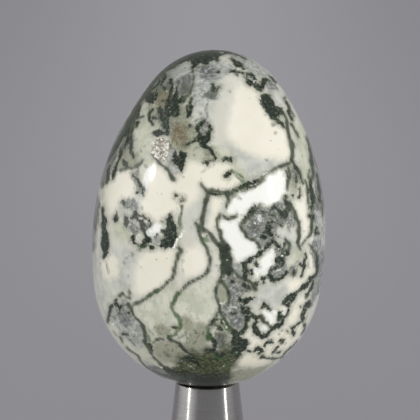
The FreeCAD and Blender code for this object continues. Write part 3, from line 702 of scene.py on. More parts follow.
class StageSettings(bpy.types.PropertyGroup):
    """Lamps, floor and world."""

    floor: tone("Floor", "Shade of the plain floor under the lamps", 90, 90, 93)
    floor_glow: tone("Floor glow", "Glow of the floor as it is seen and mirrored", 120, 119, 124)
    floor_spot: tone("Floor spot", "Glow of the floor behind the piece", 137, 136, 141)
    floor_light: tone("Floor light", "Soft light that the floor throws up", 196, 195, 188)
    world_tone: tone("World", "Tone of the even light from all round", 160, 159, 157)
    world: bpy.props.FloatProperty(
        name="World strength", description="Strength of the even light from all round", default=0.68)
    left_power: bpy.props.FloatProperty(
        name="Left lamp", description="Power of the lamp on the left", default=0.9, subtype="POWER")
    right_power: bpy.props.FloatProperty(
        name="Right lamp", description="Power of the lamp on the right", default=0.62, subtype="POWER")
    top_power: bpy.props.FloatProperty(
        name="Top lamp", description="Power of the lamp overhead", default=0.1, subtype="POWER")


class Wire:
    """The output of a shader node, which plain arithmetic can be written with."""

    def __init__(self, finish, socket):
        self.finish = finish
        self.socket = socket

    def maths(self, operation, *others):
        return self.finish.node("ShaderNodeMath", {"operation": operation}, [self, *others])

    def beside(self, out):
        """Another output of the same node."""
        return Wire(self.finish, self.socket.node.outputs[out])

    def __add__(self, other):
        return self.maths("ADD", other)

    def __sub__(self, other):
        return self.maths("SUBTRACT", other)

    def __rsub__(self, other):
        return self.finish.node("ShaderNodeMath", {"operation": "SUBTRACT"}, [other, self])

    def __mul__(self, other):
        return self.maths("MULTIPLY", other)

    __radd__ = __add__
    __rmul__ = __mul__


class Finish:
    """A procedural material: every node comes from one method, and Wire does the arithmetic."""

    def __init__(self, name, world=None):
        self.material = world or bpy.data.materials.new(name)
        self.material.use_nodes = True
        self.tree = self.material.node_tree
        self.tree.nodes.clear()
        self.place = self.node("ShaderNodeTexCoord", out="Generated" if world else "Object")

    def node(self, kind, settings=None, inputs=(), out=0):
        made = self.tree.nodes.new(kind)
        for key, value in (settings or {}).items():
            if key == "stops":
                self.set_stops(made.color_ramp, value)
            else:
                setattr(made, key, value)
        pairs = inputs.items() if isinstance(inputs, dict) else enumerate(inputs)
        for key, value in pairs:
            if isinstance(value, Wire):
                self.tree.links.new(value.socket, made.inputs[key])
            else:
                made.inputs[key].default_value = value
        return Wire(self, made.outputs[out])

    @staticmethod
    def set_stops(ramp, stops):
        while len(ramp.elements) < len(stops):
            ramp.elements.new(0.5)
        for element, (position, colour) in zip(ramp.elements, stops):
            element.position = position
            element.color = (*colour, 1)

    def noise(self, per_mm, detail, roughness, distortion=0.0, place=None):
        """Noise whose grains are about 1 / per_mm millimetres, from 0 to 1 about a middle of 0.5."""
        return self.node("ShaderNodeTexNoise", None, {
            "Vector": place or self.place, "Scale": per_mm * PER_MM, "Detail": detail,
            "Roughness": roughness, "Distortion": distortion})

    def attribute(self, name):
        return self.node("ShaderNodeAttribute", {"attribute_name": name}, out="Fac")

    def step(self, value, low, high, to_low=0.0, to_high=1.0):
        """A soft step from to_low, where value is at low or past it, to to_high at high."""
        return self.node("ShaderNodeMapRange", {"interpolation_type": "SMOOTHSTEP"},
                         [value, low, high, to_low, to_high])

    def mix(self, share, first, second):
        colours = [each if isinstance(each, Wire) else (*each, 1) for each in (first, second)]
        return self.node("ShaderNodeMix", {"data_type": "RGBA"},
                         {0: share, 6: colours[0], 7: colours[1]}, out=2)

    def ramp(self, share, stops):
        return self.node("ShaderNodeValToRGB", {"stops": stops}, [share])

    def bump(self, height, distance):
        return self.node("ShaderNodeBump", None, {"Height": height, "Distance": distance})

    def surface(self, **inputs):
        """Ends the material: keyword names are the shader's sockets, with _ for a space."""
        named = {key.replace("_", " "): value for key, value in inputs.items()}
        return self.end(self.node("ShaderNodeBsdfPrincipled", None, named))

    def end(self, shader, kind="ShaderNodeOutputMaterial"):
        output = self.tree.nodes.new(kind)
        self.tree.links.new(shader.socket, output.inputs["Surface"])
        return self.material


def egg_profile(egg):
    """Points of the egg's half section from tip to bottom, as (radius, height over the widest circle)."""
    tip_rise = egg.rise - egg.tip_radius
    upper = (egg.radius**2 + tip_rise**2 - egg.tip_radius**2) / (2 * (egg.radius - egg.tip_radius))
    bottom = (2 * egg.radius * egg.flank_radius - egg.radius**2 - egg.drop**2) / (
        2 * (egg.flank_radius - egg.drop))
    bottom_drop = egg.drop - bottom
    upper_turn = math.atan2(tip_rise, upper - egg.radius)
    lower_turn = math.atan2(bottom_drop, egg.flank_radius - egg.radius)
    arcs = [
        ((0, tip_rise), egg.tip_radius, math.pi / 2, upper_turn),
        ((egg.radius - upper, 0), upper, upper_turn, 0),
        ((egg.radius - egg.flank_radius, 0), egg.flank_radius, 0, -lower_turn),
        ((0, -bottom_drop), bottom, -lower_turn, -math.pi / 2),
    ]
    points = []
    for centre, radius, start, end in arcs:
        for angle in np.linspace(start, end, ARC_POINTS):
            points.append((centre[0] + radius * math.cos(angle), centre[1] + radius * math.sin(angle)))
    return np.array(points), bottom, bottom_drop


class EggShape:
    """The egg's surface: between directions from a ball's middle and points on the leaning egg."""

    def __init__(self, egg):
        self.points, bottom, bottom_drop = egg_profile(egg)
        steps = np.hypot(*np.diff(self.points, axis=0).T)
        self.run = np.concatenate([[0], np.cumsum(steps)])
        self.ball_middle = np.array([0, 0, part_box("stone_egg")[0].z + bottom])
        self.widest = np.array([0, 0, bottom_drop])
        turn = (math.cos(egg.lean), math.sin(egg.lean))
        self.lean = np.array([[turn[0], 0, turn[1]], [0, 1, 0], [-turn[1], 0, turn[0]]])
        self.middle = self.ball_middle + self.lean @ self.widest

    def on_surface(self, ways):
        """Ways out of a ball's middle, as unit vectors, carried to the egg along equal shares of arc."""
        share = np.arccos(np.clip(ways[:, 2], -1, 1)) / math.pi * self.run[-1]
        radius = np.interp(share, self.run, self.points[:, 0])
        height = np.interp(share, self.run, self.points[:, 1])
        across = np.hypot(ways[:, 0], ways[:, 1])
        across = np.where(across < 1e-9, 1, across)
        place = np.stack([ways[:, 0] / across * radius, ways[:, 1] / across * radius, height], axis=1)
        return place @ self.lean.T + self.middle

    def outside(self, places):
        """How far places are from the egg's axis, less the egg's radius at their height."""
        upright = (places - self.middle) @ self.lean
        height = np.clip(upright[..., 2], self.points[-1, 1], self.points[0, 1])
        radius = np.interp(height, self.points[::-1, 1], self.points[::-1, 0])
        beyond = np.abs(upright[..., 2] - height)
        return np.hypot(upright[..., 0], upright[..., 1]) - radius + beyond

    def normals(self, places):
        """Unit vectors straight out of the egg."""
        reach = 0.05 * MM
        steps = [self.outside(places + step) - self.outside(places - step) for step in np.eye(3) * reach]
        ways = np.stack(steps, axis=1)
        return ways / np.linalg.norm(ways, axis=1)[:, None]


class FrontView:
    """The camera of the front view, as plain geometry."""

    def __init__(self, middle):
        self.back = np.array([0, -math.cos(VIEW_ELEVATION), math.sin(VIEW_ELEVATION)])
        self.up = np.array([0, math.sin(VIEW_ELEVATION), math.cos(VIEW_ELEVATION)])
        self.middle = middle
        self.eye = middle + self.back * VIEW_DISTANCE

    def to_px(self, places):
        seen = places - self.eye
        depth = -seen @ self.back
        across = EGG_MIDDLE_PX[0] + LENS_PX * seen[:, 0] / depth
        down = EGG_MIDDLE_PX[1] - LENS_PX * (seen @ self.up) / depth
        return across, down

    def facing_depth(self, places, normals):
        """How far places lie inside an uneven line that runs just round the edge of what is seen."""
        towards = self.eye - places
        towards /= np.linalg.norm(towards, axis=1)[:, None]
        uneven = sum(height * np.sin(places @ way) for height, way in WRAP_WAVES)
        return ((towards * normals).sum(axis=1) + WRAP_COSINE + uneven) * WRAP_DEPTH

    def onto(self, shape, points):
        """Pixels of the front view carried straight back onto the egg's near side."""
        across = (points[:, 0] - EGG_MIDDLE_PX[0]) / LENS_PX
        down = (points[:, 1] - EGG_MIDDLE_PX[1]) / LENS_PX
        rays = -self.back + across[:, None] * np.array([1, 0, 0]) - down[:, None] * self.up
        depths = np.linspace(VIEW_DISTANCE - 20 * MM, VIEW_DISTANCE + 4 * MM, SIGHT_POINTS)
        places = self.eye + rays[:, None, :] * depths[None, :, None]
        outside = shape.outside(places)
        hit = outside < 0
        first = np.where(hit.any(axis=1), hit.argmax(axis=1), outside.argmin(axis=1))
        return places[np.arange(len(points)), first]


def rounded_path(points, closed=False):
    """A smooth path through given points."""
    rows = np.array(points, float)
    if len(rows) == 1:
        return rows
    if closed:
        rows = np.concatenate([rows[-1:], rows, rows[:2]])
    else:
        rows = np.concatenate([[2 * rows[0] - rows[1]], rows, [2 * rows[-1] - rows[-2]]])
    path = []
    for before, start, end, after in zip(rows, rows[1:], rows[2:], rows[3:]):
        for t in np.arange(PATH_PARTS) / PATH_PARTS:
            path.append(0.5 * (2 * start + (end - before) * t
                               + (2 * before - 5 * start + 4 * end - after) * t**2
                               + (3 * start - before - 3 * end + after) * t**3))
    path.append(rows[-2])
    return np.array(path)


def gap_to_path(places, path, widths):
    """How far places are outside a tube along a path, in metres."""
    nearest = np.full(len(places), np.inf)
    if len(path) == 1:
        return np.linalg.norm(places - path[0], axis=1) - widths[0]
    for start, end, near, far in zip(path, path[1:], widths, widths[1:]):
        along = end - start
        share = np.clip((places - start) @ along / max(along @ along, 1e-18), 0, 1)
        gap = np.linalg.norm(places - start - share[:, None] * along, axis=1)
        nearest = np.minimum(nearest, gap - near - (far - near) * share)
    return nearest


def inside_outline(across, down, outline):
    """Which places of the front view lie inside a closed outline."""
    inside = np.zeros(len(across), bool)
    for (x0, y0), (x1, y1) in zip(outline, np.roll(outline, -1, axis=0)):
        spans = (y0 > down) != (y1 > down)
        rise = y1 - y0 if y1 != y0 else 1
        inside ^= spans & (across < (x1 - x0) * (down - y0) / rise + x0)
    return inside


def wobbled(places):
    """Places moved a little by many small waves, so that no edge of the pattern runs smooth."""
    waves = np.random.default_rng(7)
    moved = places.copy()
    for axis in range(3):
        for span in np.geomspace(*WOBBLE_WAVES):
            way = waves.normal(size=3)
            way *= math.tau / span / np.linalg.norm(way)
            moved[:, axis] += WOBBLE_HEIGHT * np.sin(places @ way + waves.uniform(0, math.tau))
    return moved


def painted_field(places, facing, shape, view, strokes, patches):
    """How far each place is outside all strokes and patches: below zero inside them.

    A patch also ends where facing, the depth inside the side that the view sees, runs out. Depth
    away from the viewer counts for less, so that a stroke near the egg's edge keeps its width.
    """
    field = np.full(len(places), FIELD_REACH)
    across, down = view.to_px(places)

    def flattened(points):
        return points - (1 - DEPTH_SHARE) * np.outer(points @ view.back, view.back)

    flat = flattened(places)

    def near(path):
        low, high = path.min(axis=0) - FIELD_REACH, path.max(axis=0) + FIELD_REACH
        return np.flatnonzero(((flat > low) & (flat < high)).all(axis=1))

    for stroke in strokes:
        rows = rounded_path(stroke)
        path = flattened(view.onto(shape, rows[:, :2]))
        chosen = near(path)
        gap = gap_to_path(flat[chosen], path, rows[:, 2] * PX)
        field[chosen] = np.minimum(field[chosen], gap)
    for patch in patches:
        outline = rounded_path(patch, closed=True)
        path = flattened(view.onto(shape, outline[:, :2]))
        chosen = near(path)
        gap = gap_to_path(flat[chosen], path, np.zeros(len(path)))
        inside = inside_outline(across[chosen], down[chosen], outline)
        gap = np.where(inside, -np.minimum(gap, facing[chosen]), gap)
        field[chosen] = np.minimum(field[chosen], gap)
    return field


# The layers of the pattern, each of patches or of strokes. Ash, pale and smoke are clouded stone, the dark
# bands are banded stone with painted shade along the egg's outline, grit is their mixed grains, thicket the
# dense moss at the bottom, strand the moss drawn as strokes, faint the thin grey lines, and thread the
# bright cracks with some painted glints.
LAYER_PATCHES = {
    "pocket": [POCKET], "ash": ASH_PATCHES, "pale": PALE_PATCHES, "cream": CREAM_PATCHES,
    "white": WHITE_AND_HIGHLIGHT_PATCHES, "sage": SAGE_PATCHES, "deep_sage": DEEP_SAGE_PATCHES, "smoke": SMOKE_PATCHES,
    "dim": BAND_AND_SHADE_PATCHES, "tan": TAN_PATCHES, "grit": GRIT_PATCHES, "thicket": THICKET_PATCHES,
    "moss": MOSS_PATCHES,
}
LAYER_STROKES = {
    "faint": FAINT_STROKES, "strand": MOSS_STROKES, "vein": VEINS, "leaf": LEAF_STROKES, "thread": THREADS_AND_GLINTS,
}

# These are left out of the half-turned copy on the far side
FRONT_LAYERS = ("dim", "pocket", "thicket", "thread")


def paint_stone(piece, ways, shape):
    """Stores, for each kind of stone, how far every point of the egg is outside it, in millimetres."""
    view = FrontView(shape.middle)
    half_turned = ways * np.array([1, -1, -1])
    sides = [shape.on_surface(ways), shape.on_surface(half_turned)]
    facing = [view.facing_depth(places, shape.normals(places)) for places in sides]
    sides = [wobbled(places) for places in sides]
    for name in (*LAYER_PATCHES, *LAYER_STROKES):
        drawn = LAYER_STROKES.get(name, ()), LAYER_PATCHES.get(name, ())
        fields = [painted_field(places, front, shape, view, *drawn)
                  for places, front in zip(sides, facing)]
        field = (fields[0] if name in FRONT_LAYERS else np.minimum(*fields)) * PER_MM
        layer = piece.data.attributes.new(name, "FLOAT", "POINT")
        layer.data.foreach_set("value", field.astype(np.float32))


def pocket_depth(places, shape):
    """How deep the quartz pocket is under each place of the egg: it slopes in softly from its edge."""
    view = FrontView(shape.middle)
    across, down = view.to_px(places)
    outline = rounded_path(POCKET, closed=True)
    edge = np.full(len(places), np.inf)
    for point in outline:
        edge = np.minimum(edge, np.hypot(across - point[0], down - point[1]) * PX)
    near_side = (places - shape.middle) @ view.back > 0
    inside = inside_outline(across, down, outline) & near_side
    return np.where(inside, np.clip(edge / POCKET_SLOPE, 0, 1), 0) * POCKET_DEPTH


def sink_pocket(places, shape):
    """The egg's points with those in the quartz pocket lowered."""
    depth = pocket_depth(places, shape)
    inside = depth > 0
    sunk = places.copy()
    sunk[inside] -= shape.normals(places[inside]) * depth[inside, None]
    return sunk


class StoneFinish(Finish):
    """Polished stone: patches with ragged edges, moss, veins and specks, laid one over another."""

    def __init__(self, egg):
        super().__init__("polished_stone")
        self.egg = egg
        self.fine = self.noise(3.0, 6, 0.74) - 0.5
        self.ragged = self.noise(1.0, 5, 0.66, 0.4) - 0.5
        self.cloud = self.noise(0.22, 5, 0.6)
        self.grain = self.noise(1.7, 4, 0.6, 0.6)
        self.smooth = self.step(self.noise(0.6, 4, 0.55), 0.35, 0.65)
        self.squeezed = self.node("ShaderNodeVectorMath", {"operation": "MULTIPLY"},
                                  [self.place, (1, 1, 0.45)])
        height = self.node("ShaderNodeSeparateXYZ", None, [self.place], "Z")
        # Painted shade under the egg, growing towards the ring; it also makes the stone rougher there
        self.low = self.step(height, LOW_SHADE_TOP, LOW_SHADE_FULL)
        self.dull = self.cover("pocket", 0.12, 0.2, 0.2, -0.08)

    def cover(self, name, edge, fine_share, ragged_share, shift=0.0):
        """Where a layer lies: half its edge's width, two shares of noise and a shift inwards, in mm."""
        depth = self.attribute(name) + self.fine * fine_share + self.ragged * ragged_share + shift
        return self.step(depth, edge, -edge)

    def clouded_ground(self):
        """Milky stone with grey, green-grey and smoky patches, and dark bands that add painted shade along
        the egg's outline.
        """
        egg = self.egg
        colour = self.mix(self.step(self.cloud, 0.35, 0.7), srgb(208, 208, 198), egg.milk)
        ash = self.mix(self.smooth, srgb(184, 187, 181), srgb(208, 210, 204))
        colour = self.mix(self.cover("ash", 0.9, 0.4, 1.0), colour, ash)
        pale = self.mix(self.smooth, srgb(186, 190, 172), srgb(206, 208, 192))
        colour = self.mix(self.cover("pale", 0.5, 0.4, 0.9), colour, pale)
        sage = self.mix(self.smooth, srgb(194, 197, 182), egg.sage)
        colour = self.mix(self.cover("sage", 0.45, 0.5, 0.8), colour, sage)
        colour = self.mix(self.cover("deep_sage", 0.5, 0.5, 0.8), colour, egg.deep_sage)
        smoke = self.mix(self.step(self.grain, 0.36, 0.64), srgb(150, 154, 152), srgb(194, 197, 194))
        colour = self.mix(self.cover("smoke", 0.35, 0.5, 0.8), colour, smoke)
        bands = self.noise(0.7, 6, 0.72, 1.5, self.squeezed)
        # The dark bands: banded stone, and painted shade along the egg's outline
        dim = self.ramp(bands, [(0.36, srgb(58, 66, 64)), (0.47, srgb(100, 105, 104)),
                                (0.55, srgb(126, 129, 128)), (0.66, srgb(168, 172, 164))])
        return self.mix(self.cover("dim", 0.35, 0.9, 1.1) * 0.92, colour, dim)

    def chalky_patches(self, colour):
        """Cream, white, rusty and gritty patches over the ground, with faint lines and streaks; one white
        patch is a painted highlight.
        """
        egg = self.egg
        cream = self.mix(self.step(self.cloud, 0.3, 0.62), srgb(236, 233, 219), egg.cream)
        colour = self.mix(self.cover("cream", 0.7, 0.35, 0.8, -0.1), colour, cream)
        # White patches, one of them a painted highlight
        colour = self.mix(self.cover("white", 0.2, 0.25, 0.35), colour, egg.white)
        tan = self.mix(self.step(self.grain, 0.36, 0.68), egg.tan, srgb(150, 144, 122))
        colour = self.mix(self.cover("tan", 0.5, 0.6, 1.0, -0.1) * 0.92, colour, tan)
        grit = self.ramp(self.noise(1.9, 6, 0.75, 0.9), [
            (0.38, srgb(52, 56, 58)), (0.47, srgb(104, 107, 109)),
            (0.55, srgb(140, 143, 144)), (0.64, srgb(226, 228, 226))])
        colour = self.mix(self.cover("grit", 0.35, 0.8, 1.2) * 0.88, colour, grit)
        colour = self.mix(self.cover("faint", 0.24, 0.5, 0.4) * 0.75, colour, srgb(88, 94, 86))
        streaks = self.noise(2.6, 5, 0.7, 0.5, self.squeezed)
        streaked = self.cover("deep_sage", 0.6, 0.8, 1.0, -0.2) + self.cover("sage", 0.6, 0.8, 1.0) * 0.5
        streaked = streaked + self.cover("dim", 0.5, 0.8, 1.0) * 0.6
        return self.mix(self.step(streaks, 0.52, 0.68) * streaked * 0.6, colour, srgb(58, 66, 56))

    def moss_and_veins(self, colour):
        """Moss, strands, veins and bright cracks, each of the dark ones in a dusky haze; some of the bright
        marks are painted glints, and painted shade darkens the moss towards the ring.
        """
        egg = self.egg
        dusk = srgb(124, 130, 112)
        colour = self.mix(self.cover("vein", 0.4, 0.6, 0.7, -0.3) * 0.4, colour, dusk)
        colour = self.mix(self.cover("strand", 0.45, 1.1, 1.1, -0.35) * 0.5, colour, dusk)
        colour = self.mix(self.cover("moss", 0.45, 1.1, 1.1, -0.35) * 0.55, colour, dusk)
        tuft = self.noise(2.4, 6, 0.72, 0.6)
        moss = self.ramp(tuft, [(0.38, egg.moss_dark), (0.51, srgb(42, 50, 44)),
                                (0.6, egg.moss_green), (0.72, srgb(132, 140, 122))])
        thicket = self.ramp(tuft, [(0.36, srgb(34, 42, 32)), (0.48, srgb(66, 78, 54)),
                                   (0.57, srgb(98, 100, 78)), (0.68, srgb(136, 142, 116))])
        # Painted shade: the moss at the bottom darkens towards the ring
        thicket = self.mix(self.low * 0.9, thicket, egg.moss_dark)
        colour = self.mix(self.cover("thicket", 0.7, 1.0, 1.4), colour, thicket)
        colour = self.mix(self.cover("moss", 0.14, 1.0, 0.9, -0.1), colour, moss)
        colour = self.mix(self.cover("strand", 0.14, 0.85, 0.6, -0.06), colour, moss)
        vein = self.mix(self.step(self.ragged, -0.2, 0.25), srgb(44, 52, 44), srgb(80, 90, 72))
        colour = self.mix(self.cover("vein", 0.18, 0.17, 0.22, -0.065) * 0.92, colour, vein)
        colour = self.mix(self.cover("leaf", 0.18, 0.4, 0.35, -0.04) * 0.85, colour, egg.leaf)
        # Bright cracks in near white, some of them painted glints
        return self.mix(self.cover("thread", 0.07, 0.1, 0.1, -0.02) * 0.95, colour, srgb(248, 249, 244))

    def polish(self):
        """Adds small specks and the pocket's dull floor, and ends the material."""
        colour = self.moss_and_veins(self.chalky_patches(self.clouded_ground()))
        specks = self.node("ShaderNodeTexVoronoi", {"feature": "F1"},
                           {"Vector": self.place, "Scale": 0.75 * PER_MM, "Randomness": 1.0})
        speckled = self.step(specks + self.noise(0.3, 2, 0.5) * 0.45, 0.33, 0.27)
        colour = self.mix(speckled * 0.35, colour, srgb(120, 126, 112))
        colour = self.mix(self.dull * 0.8, colour, srgb(150, 142, 122))
        rough = self.step(self.cover("moss", 0.1, 0.75, 0.5), 0, 1, 0.07, 0.16)
        rough = rough + self.dull * 0.5 + self.low * 0.2
        return self.surface(Base_Color=colour, Roughness=rough, IOR=1.54)


class STONEEGG_OT_egg(bpy.types.Operator):
    """Adds the polished egg, rounded from a finely cut cube, with the stone's pattern on it"""

    bl_idname = "stone_egg.egg"
    bl_label = "Stone egg"

    def execute(self, context):
        egg = context.scene.stone_egg
        clear_selection()
        bpy.ops.mesh.primitive_cube_add(size=2)
        piece = context.object
        piece.name = "polished_egg"
        bpy.ops.object.mode_set(mode="EDIT")
        bpy.ops.mesh.subdivide(number_cuts=egg.cuts)
        bpy.ops.transform.tosphere(value=1)
        bpy.ops.object.mode_set(mode="OBJECT")
        ways = np.zeros(len(piece.data.vertices) * 3)
        piece.data.vertices.foreach_get("co", ways)
        ways = ways.reshape(-1, 3)
        ways /= np.linalg.norm(ways, axis=1)[:, None]
        shape = EggShape(egg)
        places = sink_pocket(shape.on_surface(ways), shape)
        piece.data.vertices.foreach_set("co", places.ravel())
        piece.data.update()
        bpy.ops.object.shade_smooth()
        paint_stone(piece, ways, shape)
        piece.data.materials.append(StoneFinish(egg).polish())
        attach(piece, "egg")
        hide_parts("stone_egg")
        return {"FINISHED"}


def quartz_finish():
    """Clear to milky quartz with smoky and rusty crystals in random patches."""
    quartz = Finish("pocket_quartz")
    cloud = quartz.noise(2.2, 3, 0.6)
    rust = quartz.noise(0.9, 3, 0.6, 0.5)
    colour = quartz.mix(quartz.step(cloud, 0.34, 0.56), srgb(206, 202, 190), srgb(252, 252, 250))
    colour = quartz.mix(quartz.step(rust, 0.5, 0.6) * 0.6, colour, srgb(124, 112, 88))
    return quartz.surface(Base_Color=colour, Roughness=cloud * 0.2 + 0.02, IOR=1.54, Coat_Weight=0.4,
                          Coat_Roughness=0.03, Normal=quartz.bump(cloud, 0.02 * MM))


class STONEEGG_OT_crystals(bpy.types.Operator):
    """Lines the stone's pocket with small pointed crystals, copied from one"""

    bl_idname = "stone_egg.crystals"
    bl_label = "Pocket crystals"

    def execute(self, context):
        shape = EggShape(context.scene.stone_egg)
        outline = rounded_path(POCKET, closed=True)
        low, high = outline.min(axis=0), outline.max(axis=0)
        steps = [np.arange(low[axis], high[axis], CRYSTAL_STEP_PX) for axis in range(2)]
        chance = np.random.default_rng(3)
        spots = np.array([(x, y) for y in steps[1] for x in steps[0]])
        spots += chance.uniform(-CRYSTAL_STRAY_PX, CRYSTAL_STRAY_PX, spots.shape)
        inside = inside_outline(spots[:, 0], spots[:, 1], outline)
        spots = spots[inside & (chance.random(len(spots)) < CRYSTAL_SHARE)]
        places = FrontView(shape.middle).onto(shape, spots)
        normals = shape.normals(places)
        floors = places - normals * (pocket_depth(places, shape) + CRYSTAL_ROOT)[:, None]
        crystal = self.crystal()
        copies = []
        for place, normal in zip(floors, normals):
            tilt = Vector(normal + chance.normal(0, CRYSTAL_TILT, 3)).normalized()
            turn = Euler((0, 0, chance.uniform(0, math.tau))).to_matrix()
            stance = tilt.to_track_quat("Z", "Y").to_matrix() @ turn
            size = chance.uniform(*CRYSTAL_SIZES)
            copy = crystal.copy()
            copy.data = crystal.data.copy()
            copy.data.transform((stance * size).to_4x4())
            copy.data.transform(Matrix.Translation(place))
            context.collection.objects.link(copy)
            copies.append(copy)
        bpy.data.objects.remove(crystal)
        clear_selection()
        for copy in copies:
            copy.select_set(True)
        context.view_layer.objects.active = copies[0]
        bpy.ops.object.join()
        piece = context.object
        piece.name = "quartz_crystals"
        piece.data.materials.append(quartz_finish())
        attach(piece, "egg")
        return {"FINISHED"}

    def crystal(self):
        """One six-sided crystal with a blunt point, standing on the origin."""
        clear_selection()
        bpy.ops.mesh.primitive_cylinder_add(vertices=6, radius=CRYSTAL_RADIUS, depth=CRYSTAL_SIDE,
                                            location=(0, 0, CRYSTAL_SIDE / 2))
        crystal = bpy.context.object
        bpy.ops.object.transform_apply(location=True, rotation=False, scale=False)
        bpy.ops.object.mode_set(mode="EDIT")
        bpy.ops.mesh.select_all(action="DESELECT")
        mesh = bmesh.from_edit_mesh(crystal.data)
        for face in mesh.faces:
            face.select_set(face.normal.z > 0.9)
        bmesh.update_edit_mesh(crystal.data)
        bpy.ops.mesh.extrude_region_move(TRANSFORM_OT_translate={"value": (0, 0, CRYSTAL_POINT)})
        bpy.ops.transform.resize(value=(CRYSTAL_TIP_SHARE, CRYSTAL_TIP_SHARE, 1))
        bpy.ops.object.mode_set(mode="OBJECT")
        return crystal


def rounded_section(corners):
    """Points of a half section, from (radius, height, rounding) corners in millimetres."""
    points = []
    for index, (radius, height, rounding) in enumerate(corners):
        corner = Vector((radius, height))
        if not rounding:
            points.append(corner)
            continue
        before = (Vector(corners[index - 1][:2]) - corner).normalized()
        after = (Vector(corners[(index + 1) % len(corners)][:2]) - corner).normalized()
        half = before.angle(after) / 2
        centre = corner + (before + after).normalized() * rounding / math.sin(half)
        start = corner + before * rounding / math.tan(half) - centre
        end = corner + after * rounding / math.tan(half) - centre
        parts = max(3, round((math.pi - 2 * half) / ROUNDING_STEP))
        points += [centre + start.slerp(end, part / parts) * rounding for part in range(parts + 1)]
    return points


def divided(points, longest):
    """The same run of points, with more of them where two are further apart than longest."""
    run = points[:1]
    for start, end in zip(points, points[1:]):
        parts = max(1, math.ceil((end - start).length / longest))
        run += [start.lerp(end, part / parts) for part in range(1, parts + 1)]
    return run


def turned(name, corners, closed=False, steps=144, longest=100.0):
    """Turns a piece about the stand's axis from the corners of its half section, in millimetres."""
    points = rounded_section(corners)
    if closed:
        points.append(points[0])
    points = divided(points, longest)
    clear_selection()
    bpy.ops.mesh.primitive_plane_add(size=MM)
    piece = bpy.context.object
    piece.name = name
    bpy.ops.object.mode_set(mode="EDIT")
    bpy.ops.mesh.merge(type="CENTER")
    bpy.ops.transform.translate(value=(points[0].x * MM, 0, points[0].y * MM))
    for start, end in zip(points, points[1:]):
        step = ((end.x - start.x) * MM, 0, (end.y - start.y) * MM)
        bpy.ops.mesh.extrude_region_move(TRANSFORM_OT_translate={"value": step})
    bpy.ops.mesh.select_all(action="SELECT")
    bpy.ops.mesh.spin(steps=steps, angle=math.tau, center=(0, 0, 0), axis=(0, 0, 1))
    bpy.ops.mesh.select_all(action="SELECT")
    bpy.ops.mesh.remove_doubles(threshold=0.001 * MM)
    bpy.ops.mesh.normals_make_consistent(inside=False)
    bpy.ops.object.mode_set(mode="OBJECT")
    bpy.ops.object.shade_smooth_by_angle(angle=SHARP_ANGLE)
    return piece


class StandLevels:
    """Levels and radii of the stand in millimetres, worked out from its settings."""

    def __init__(self, stand):
        for key in StandSettings.__annotations__:
            setting = getattr(stand, key)
            if isinstance(setting, float):
                setattr(self, key, setting * PER_MM)
        self.taper = stand.taper
        self.plate_bottom = self.felt_thickness - self.felt_recess
        self.plate_top = self.plate_bottom + self.plate_thickness
        self.foot = self.plate_top - self.register_depth
        self.lip = self.foot + self.column_height
        side = self.column_height - self.flange_thickness
        self.taper_foot = self.lip_radius + side * math.tan(self.taper)
        flare = self.flare_radius * math.tan((math.pi / 2 - self.taper) / 2)
        self.flange_radius = self.taper_foot + flare + self.flange_land
        self.mouth_floor = self.ring_level - self.ring_section / 2 - FIT_GAP
        self.screw_seat = self.felt_thickness + self.washer_thickness + self.head_height + HEAD_SUNK
        self.head_top = self.screw_seat - self.washer_thickness
        self.screw_tip = self.head_top + self.screw_length


def turned_metal(name, metal_tone, roughness, mark_height, marks_per_mm=16.0):
    """Metal off the lathe: fine rings round the axis, worn in places, with faint smears on it."""
    metal = Finish(name)
    split = metal.node("ShaderNodeSeparateXYZ", None, [metal.place])
    across, away, up = split, split.beside(1), split.beside(2)
    radius = (across * across + away * away).maths("SQRT")
    rings = metal.node("ShaderNodeCombineXYZ", None, [radius, 0.0, up])
    fine = metal.noise(marks_per_mm, 3, 0.7, place=rings)
    coarse = metal.noise(marks_per_mm * 0.2, 3, 0.6, place=rings)
    smear = metal.noise(0.35, 4, 0.6, 1.2)
    pits = metal.noise(9.0, 2, 0.5)
    colour = metal.mix(metal.step(fine + coarse * 0.5, 0.55, 0.95),
                       shaded(metal_tone, 0.86), metal_tone)
    colour = metal.mix(metal.step(smear, 0.55, 0.75) * 0.25, colour,
                       shaded(metal_tone, 0.7))
    rough = coarse * 0.12 + metal.step(smear, 0.4, 0.75, 0, 0.08) + (roughness - 0.08)
    height = fine + coarse * 1.4 + metal.step(pits, 0.7, 0.76) * -0.6
    return metal.surface(Base_Color=colour, Metallic=1.0, Roughness=rough, Anisotropic=1.0,
                         Anisotropic_Rotation=0.25, Normal=metal.bump(height, mark_height * MM))


def plated_metal(name, metal_tone, roughness, grain_per_mm):
    """Plated or blackened small parts: a mottled grain with darker spots."""
    metal = Finish(name)
    grain = metal.noise(grain_per_mm, 4, 0.65, 0.8)
    stain = metal.noise(0.5, 3, 0.6, 1.0)
    cells = metal.node("ShaderNodeTexVoronoi", {"feature": "F1"},
                       {"Vector": metal.place, "Scale": grain_per_mm * PER_MM})
    colour = metal.mix(metal.step(grain, 0.35, 0.7), shaded(metal_tone, 0.72),
                       metal_tone)
    colour = metal.mix(metal.step(stain, 0.55, 0.72) * 0.4, colour,
                       (metal_tone[0] * 0.62, metal_tone[1] * 0.58, metal_tone[2] * 0.5))
    return metal.surface(Base_Color=colour, Metallic=1.0, Roughness=grain * 0.2 + roughness,
                         Normal=metal.bump(cells + grain, 0.004 * MM))


